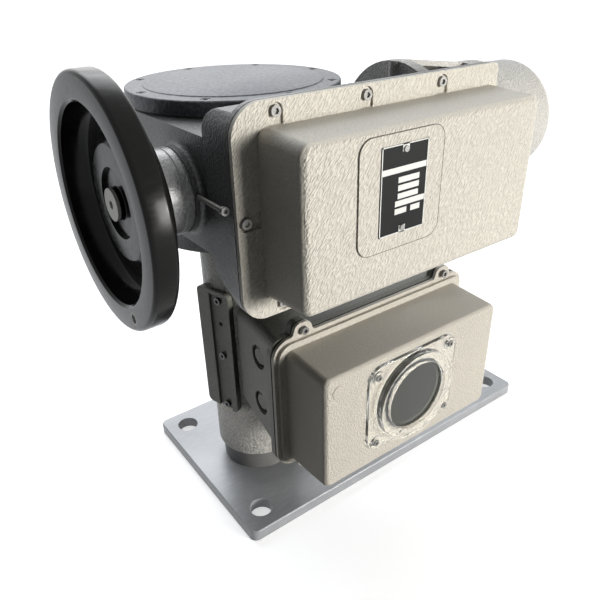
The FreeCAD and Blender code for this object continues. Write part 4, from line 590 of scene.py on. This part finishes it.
# The handwheel, turned from the CAD node's own outline, with the hole for the handle's insert.
def make_wheel():
    lo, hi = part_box("handwheel")
    points = [(p.x * MM, -p.y * MM, 0.0) for p in rounded(WHEEL_OUTLINE)]
    mesh = outline_mesh("wheel_outline", points)
    centre = (hi[0], (lo[1] + hi[1]) / 2, (lo[2] + hi[2]) / 2)
    obj = grown("handwheel_turned", mesh, turned_tree(), "wheel_black",
                Sections=WHEEL_SECTIONS, Centre=centre)
    drill = handle_drill()
    tidy_normals(obj.data, WHEEL_SHARP)
    cut = obj.modifiers.new("handle_hole", "BOOLEAN")
    cut.object = drill
    cut.solver = "EXACT"
    drilled = obj.evaluated_get(bpy.context.evaluated_depsgraph_get())
    result = bpy.data.meshes.new_from_object(drilled)
    obj.modifiers.remove(cut)
    obj.data = result
    bpy.data.objects.remove(drill)
    result.materials.clear()
    result.materials.append(materials["wheel_black"])
    tidy_normals(result, WHEEL_SHARP)
    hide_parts("handwheel")
    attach(obj, nodes["handwheel"]["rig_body"])


# The raised pad round the data plate, in mm: its reach past the plate, the radius of its corners,
# the radius of the dark line at its foot, which is painted shade where the step meets the cover,
# and the line's distance behind the plate's back.
PAD_LEFT = 20.5
PAD_RIGHT = 18.0
PAD_BELOW = 12.5
PAD_ABOVE = 8.5
PAD_CORNER = 12.0
PAD_BEAD = 0.32
PAD_BACK = 0.1
PAD_SHARP = 60.0        # degrees


# A dark rod round the pad's foot: painted shade at the step, not a part of the cover.
def pad_shade_line():
    lo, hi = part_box("data_plate")
    x0, x1 = lo[0] - PAD_LEFT * MM, hi[0] + PAD_RIGHT * MM
    z0, z1 = lo[2] - PAD_BELOW * MM, hi[2] + PAD_ABOVE * MM
    r = PAD_CORNER * MM
    pts = rounded([(x0, z0, r), (x1, z0, r), (x1, z1, r), (x0, z1, r)], steps=10)
    mesh = outline_mesh("pad_outline", [(p.x, hi[1] + PAD_BACK * MM, p.y) for p in pts])
    obj = grown("pad_shade_line", mesh, bead_tree(), "seam_shadow", Bead_Radius=PAD_BEAD * MM)
    tidy_normals(obj.data, PAD_SHARP)
    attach(obj, nodes["control_cover"]["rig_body"])


# Blank white fields of the data plate, from left, right, top and bottom as shares of the plate.
FIELDS = [
    (0.0, 1.0, 0.0, 0.012), (0.0, 1.0, 0.988, 1.0), (0.0, 0.018, 0.0, 1.0),
    (0.982, 1.0, 0.0, 1.0), (0.02, 0.97, 0.24, 0.305), (0.37, 0.83, 0.355, 0.42),
    (0.37, 0.83, 0.445, 0.51), (0.37, 0.82, 0.538, 0.60), (0.32, 0.97, 0.62, 0.685),
    (0.32, 0.58, 0.71, 0.775), (0.67, 0.88, 0.71, 0.775), (0.43, 0.57, 0.0, 0.085),
    (0.43, 0.57, 0.915, 1.0),
]
# Each field is a thin block, with its middle just in front of the plate, in m.
FIELD_THICK = 0.00016
FIELD_OUT = 0.00003


def plate_fields():
    lo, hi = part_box("data_plate")
    wide = hi[0] - lo[0]
    tall = hi[2] - lo[2]
    bm = bmesh.new()
    for left, right, top, bottom in FIELDS:
        x0, x1 = lo[0] + wide * left, lo[0] + wide * right
        z0, z1 = hi[2] - tall * bottom, hi[2] - tall * top
        middle = Matrix.Translation(((x0 + x1) / 2, lo[1] - FIELD_OUT, (z0 + z1) / 2))
        size = Matrix.Diagonal((x1 - x0, FIELD_THICK, z1 - z0, 1))
        bmesh.ops.create_cube(bm, size=1.0, matrix=middle @ size)
    mesh = bpy.data.meshes.new("plate_fields")
    bm.to_mesh(mesh)
    bm.free()
    mesh.materials.append(materials["label_white"])
    obj = shown("plate_fields", mesh)
    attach(obj, nodes["data_plate"]["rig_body"])


# 1 for the rays that show the white background: the camera's, and those that metal and glass send
# on, as long as no matt surface has scattered them.
def seen_ray(tree, path):
    seen = math_node(tree, "MAXIMUM", path.outputs["Is Camera Ray"], path.outputs["Is Glossy Ray"])
    seen = math_node(tree, "MAXIMUM", seen, path.outputs["Is Transmission Ray"])
    direct = math_node(tree, "LESS_THAN", path.outputs["Diffuse Depth"], 0.5)
    return math_node(tree, "MULTIPLY", seen, direct)


# The studio's lamps, all aimed at AIM: name, place, watts, width, height and tint.
AIM = (0, -0.05, 0.28)
WARM = (1.0, 0.985, 0.955)
LAMPS = (
    ("key_front_right", (1.44, -3.32, 0.62), 124.0, 1.2, 1.2, WARM),
    ("key_core", (1.70, -3.1, 0.66), 34.0, 0.3, 0.3, WARM),
    ("sky_back", (0.2, 1.6, 2.1), 16.0, 1.8, 1.2, (0.94, 0.97, 1.0)),
)
# The white floor's half width in m, and its glow for the rays that see it.
FLOOR_HALF = 60.0
FLOOR_GLOW = 0.62
# The soft sky: its tint, where it is brightest, how fast it fades from there, its peak and its
# least.
SKY_TINT = (0.90, 0.95, 1.0)
SKY_WAY = (0.32, 0.78, 0.54)
SKY_FALL = 4.0
SKY_PEAK = 2.7
SKY_LEAST = 0.02


def make_floor():
    mesh = bpy.data.meshes.new("studio_floor")
    s = FLOOR_HALF
    mesh.from_pydata([(-s, -s, 0), (s, -s, 0), (s, s, 0), (-s, s, 0)], [], [(0, 1, 2, 3)])
    floor = shown("studio_floor", mesh)
    t, p, _ = start("floor_white")
    seen = seen_ray(t, node(t, "ShaderNodeLightPath"))
    t.links.new(mix_color(t, seen, (0.12, 0.12, 0.12), (0.86, 0.86, 0.86)), p.inputs["Base Color"])
    p.inputs["Roughness"].default_value = 0.9
    p.inputs["Emission Color"].default_value = (1, 1, 1, 1)
    t.links.new(math_node(t, "MULTIPLY", seen, FLOOR_GLOW), p.inputs["Emission Strength"])
    mesh.materials.append(materials["floor_white"])


# White where it is seen, and otherwise a soft sky from behind.
def make_world():
    world = bpy.data.worlds.new("studio_world")
    bpy.context.scene.world = world
    world.use_nodes = True
    t = world.node_tree
    bg = t.nodes["Background"]
    seen = seen_ray(t, node(t, "ShaderNodeLightPath"))
    way = node(t, "ShaderNodeTexCoord")
    side = node(t, "ShaderNodeVectorMath", operation="DOT_PRODUCT")
    t.links.new(way.outputs["Generated"], side.inputs[0])
    side.inputs[1].default_value = SKY_WAY
    soft = math_node(t, "POWER", math_node(t, "MAXIMUM", side.outputs["Value"], 0.0), SKY_FALL)
    soft = math_node(t, "MULTIPLY_ADD", soft, SKY_PEAK, SKY_LEAST)
    t.links.new(math_node(t, "MAXIMUM", seen, soft), bg.inputs["Strength"])
    t.links.new(mix_color(t, seen, SKY_TINT, (1.0, 1.0, 1.0)), bg.inputs["Color"])


def make_lamps():
    for name, place, power, width, height, tint in LAMPS:
        d = bpy.data.lights.new(name, "AREA")
        d.energy = power
        d.color = tint
        d.shape = "RECTANGLE"
        d.size = width
        d.size_y = height
        o = shown(name, d)
        o.location = place
        o.rotation_euler = (Vector(AIM) - Vector(place)).to_track_quat("-Z", "Y").to_euler()


set_camera()
make_materials()
dress_nodes()
for part, edge in SOFT_EDGES.items():
    soften(part, edge)
make_wheel()
pad_shade_line()
plate_fields()
bpy.context.scene.view_settings.view_transform = "Standard"
make_floor()
make_world()
make_lamps()
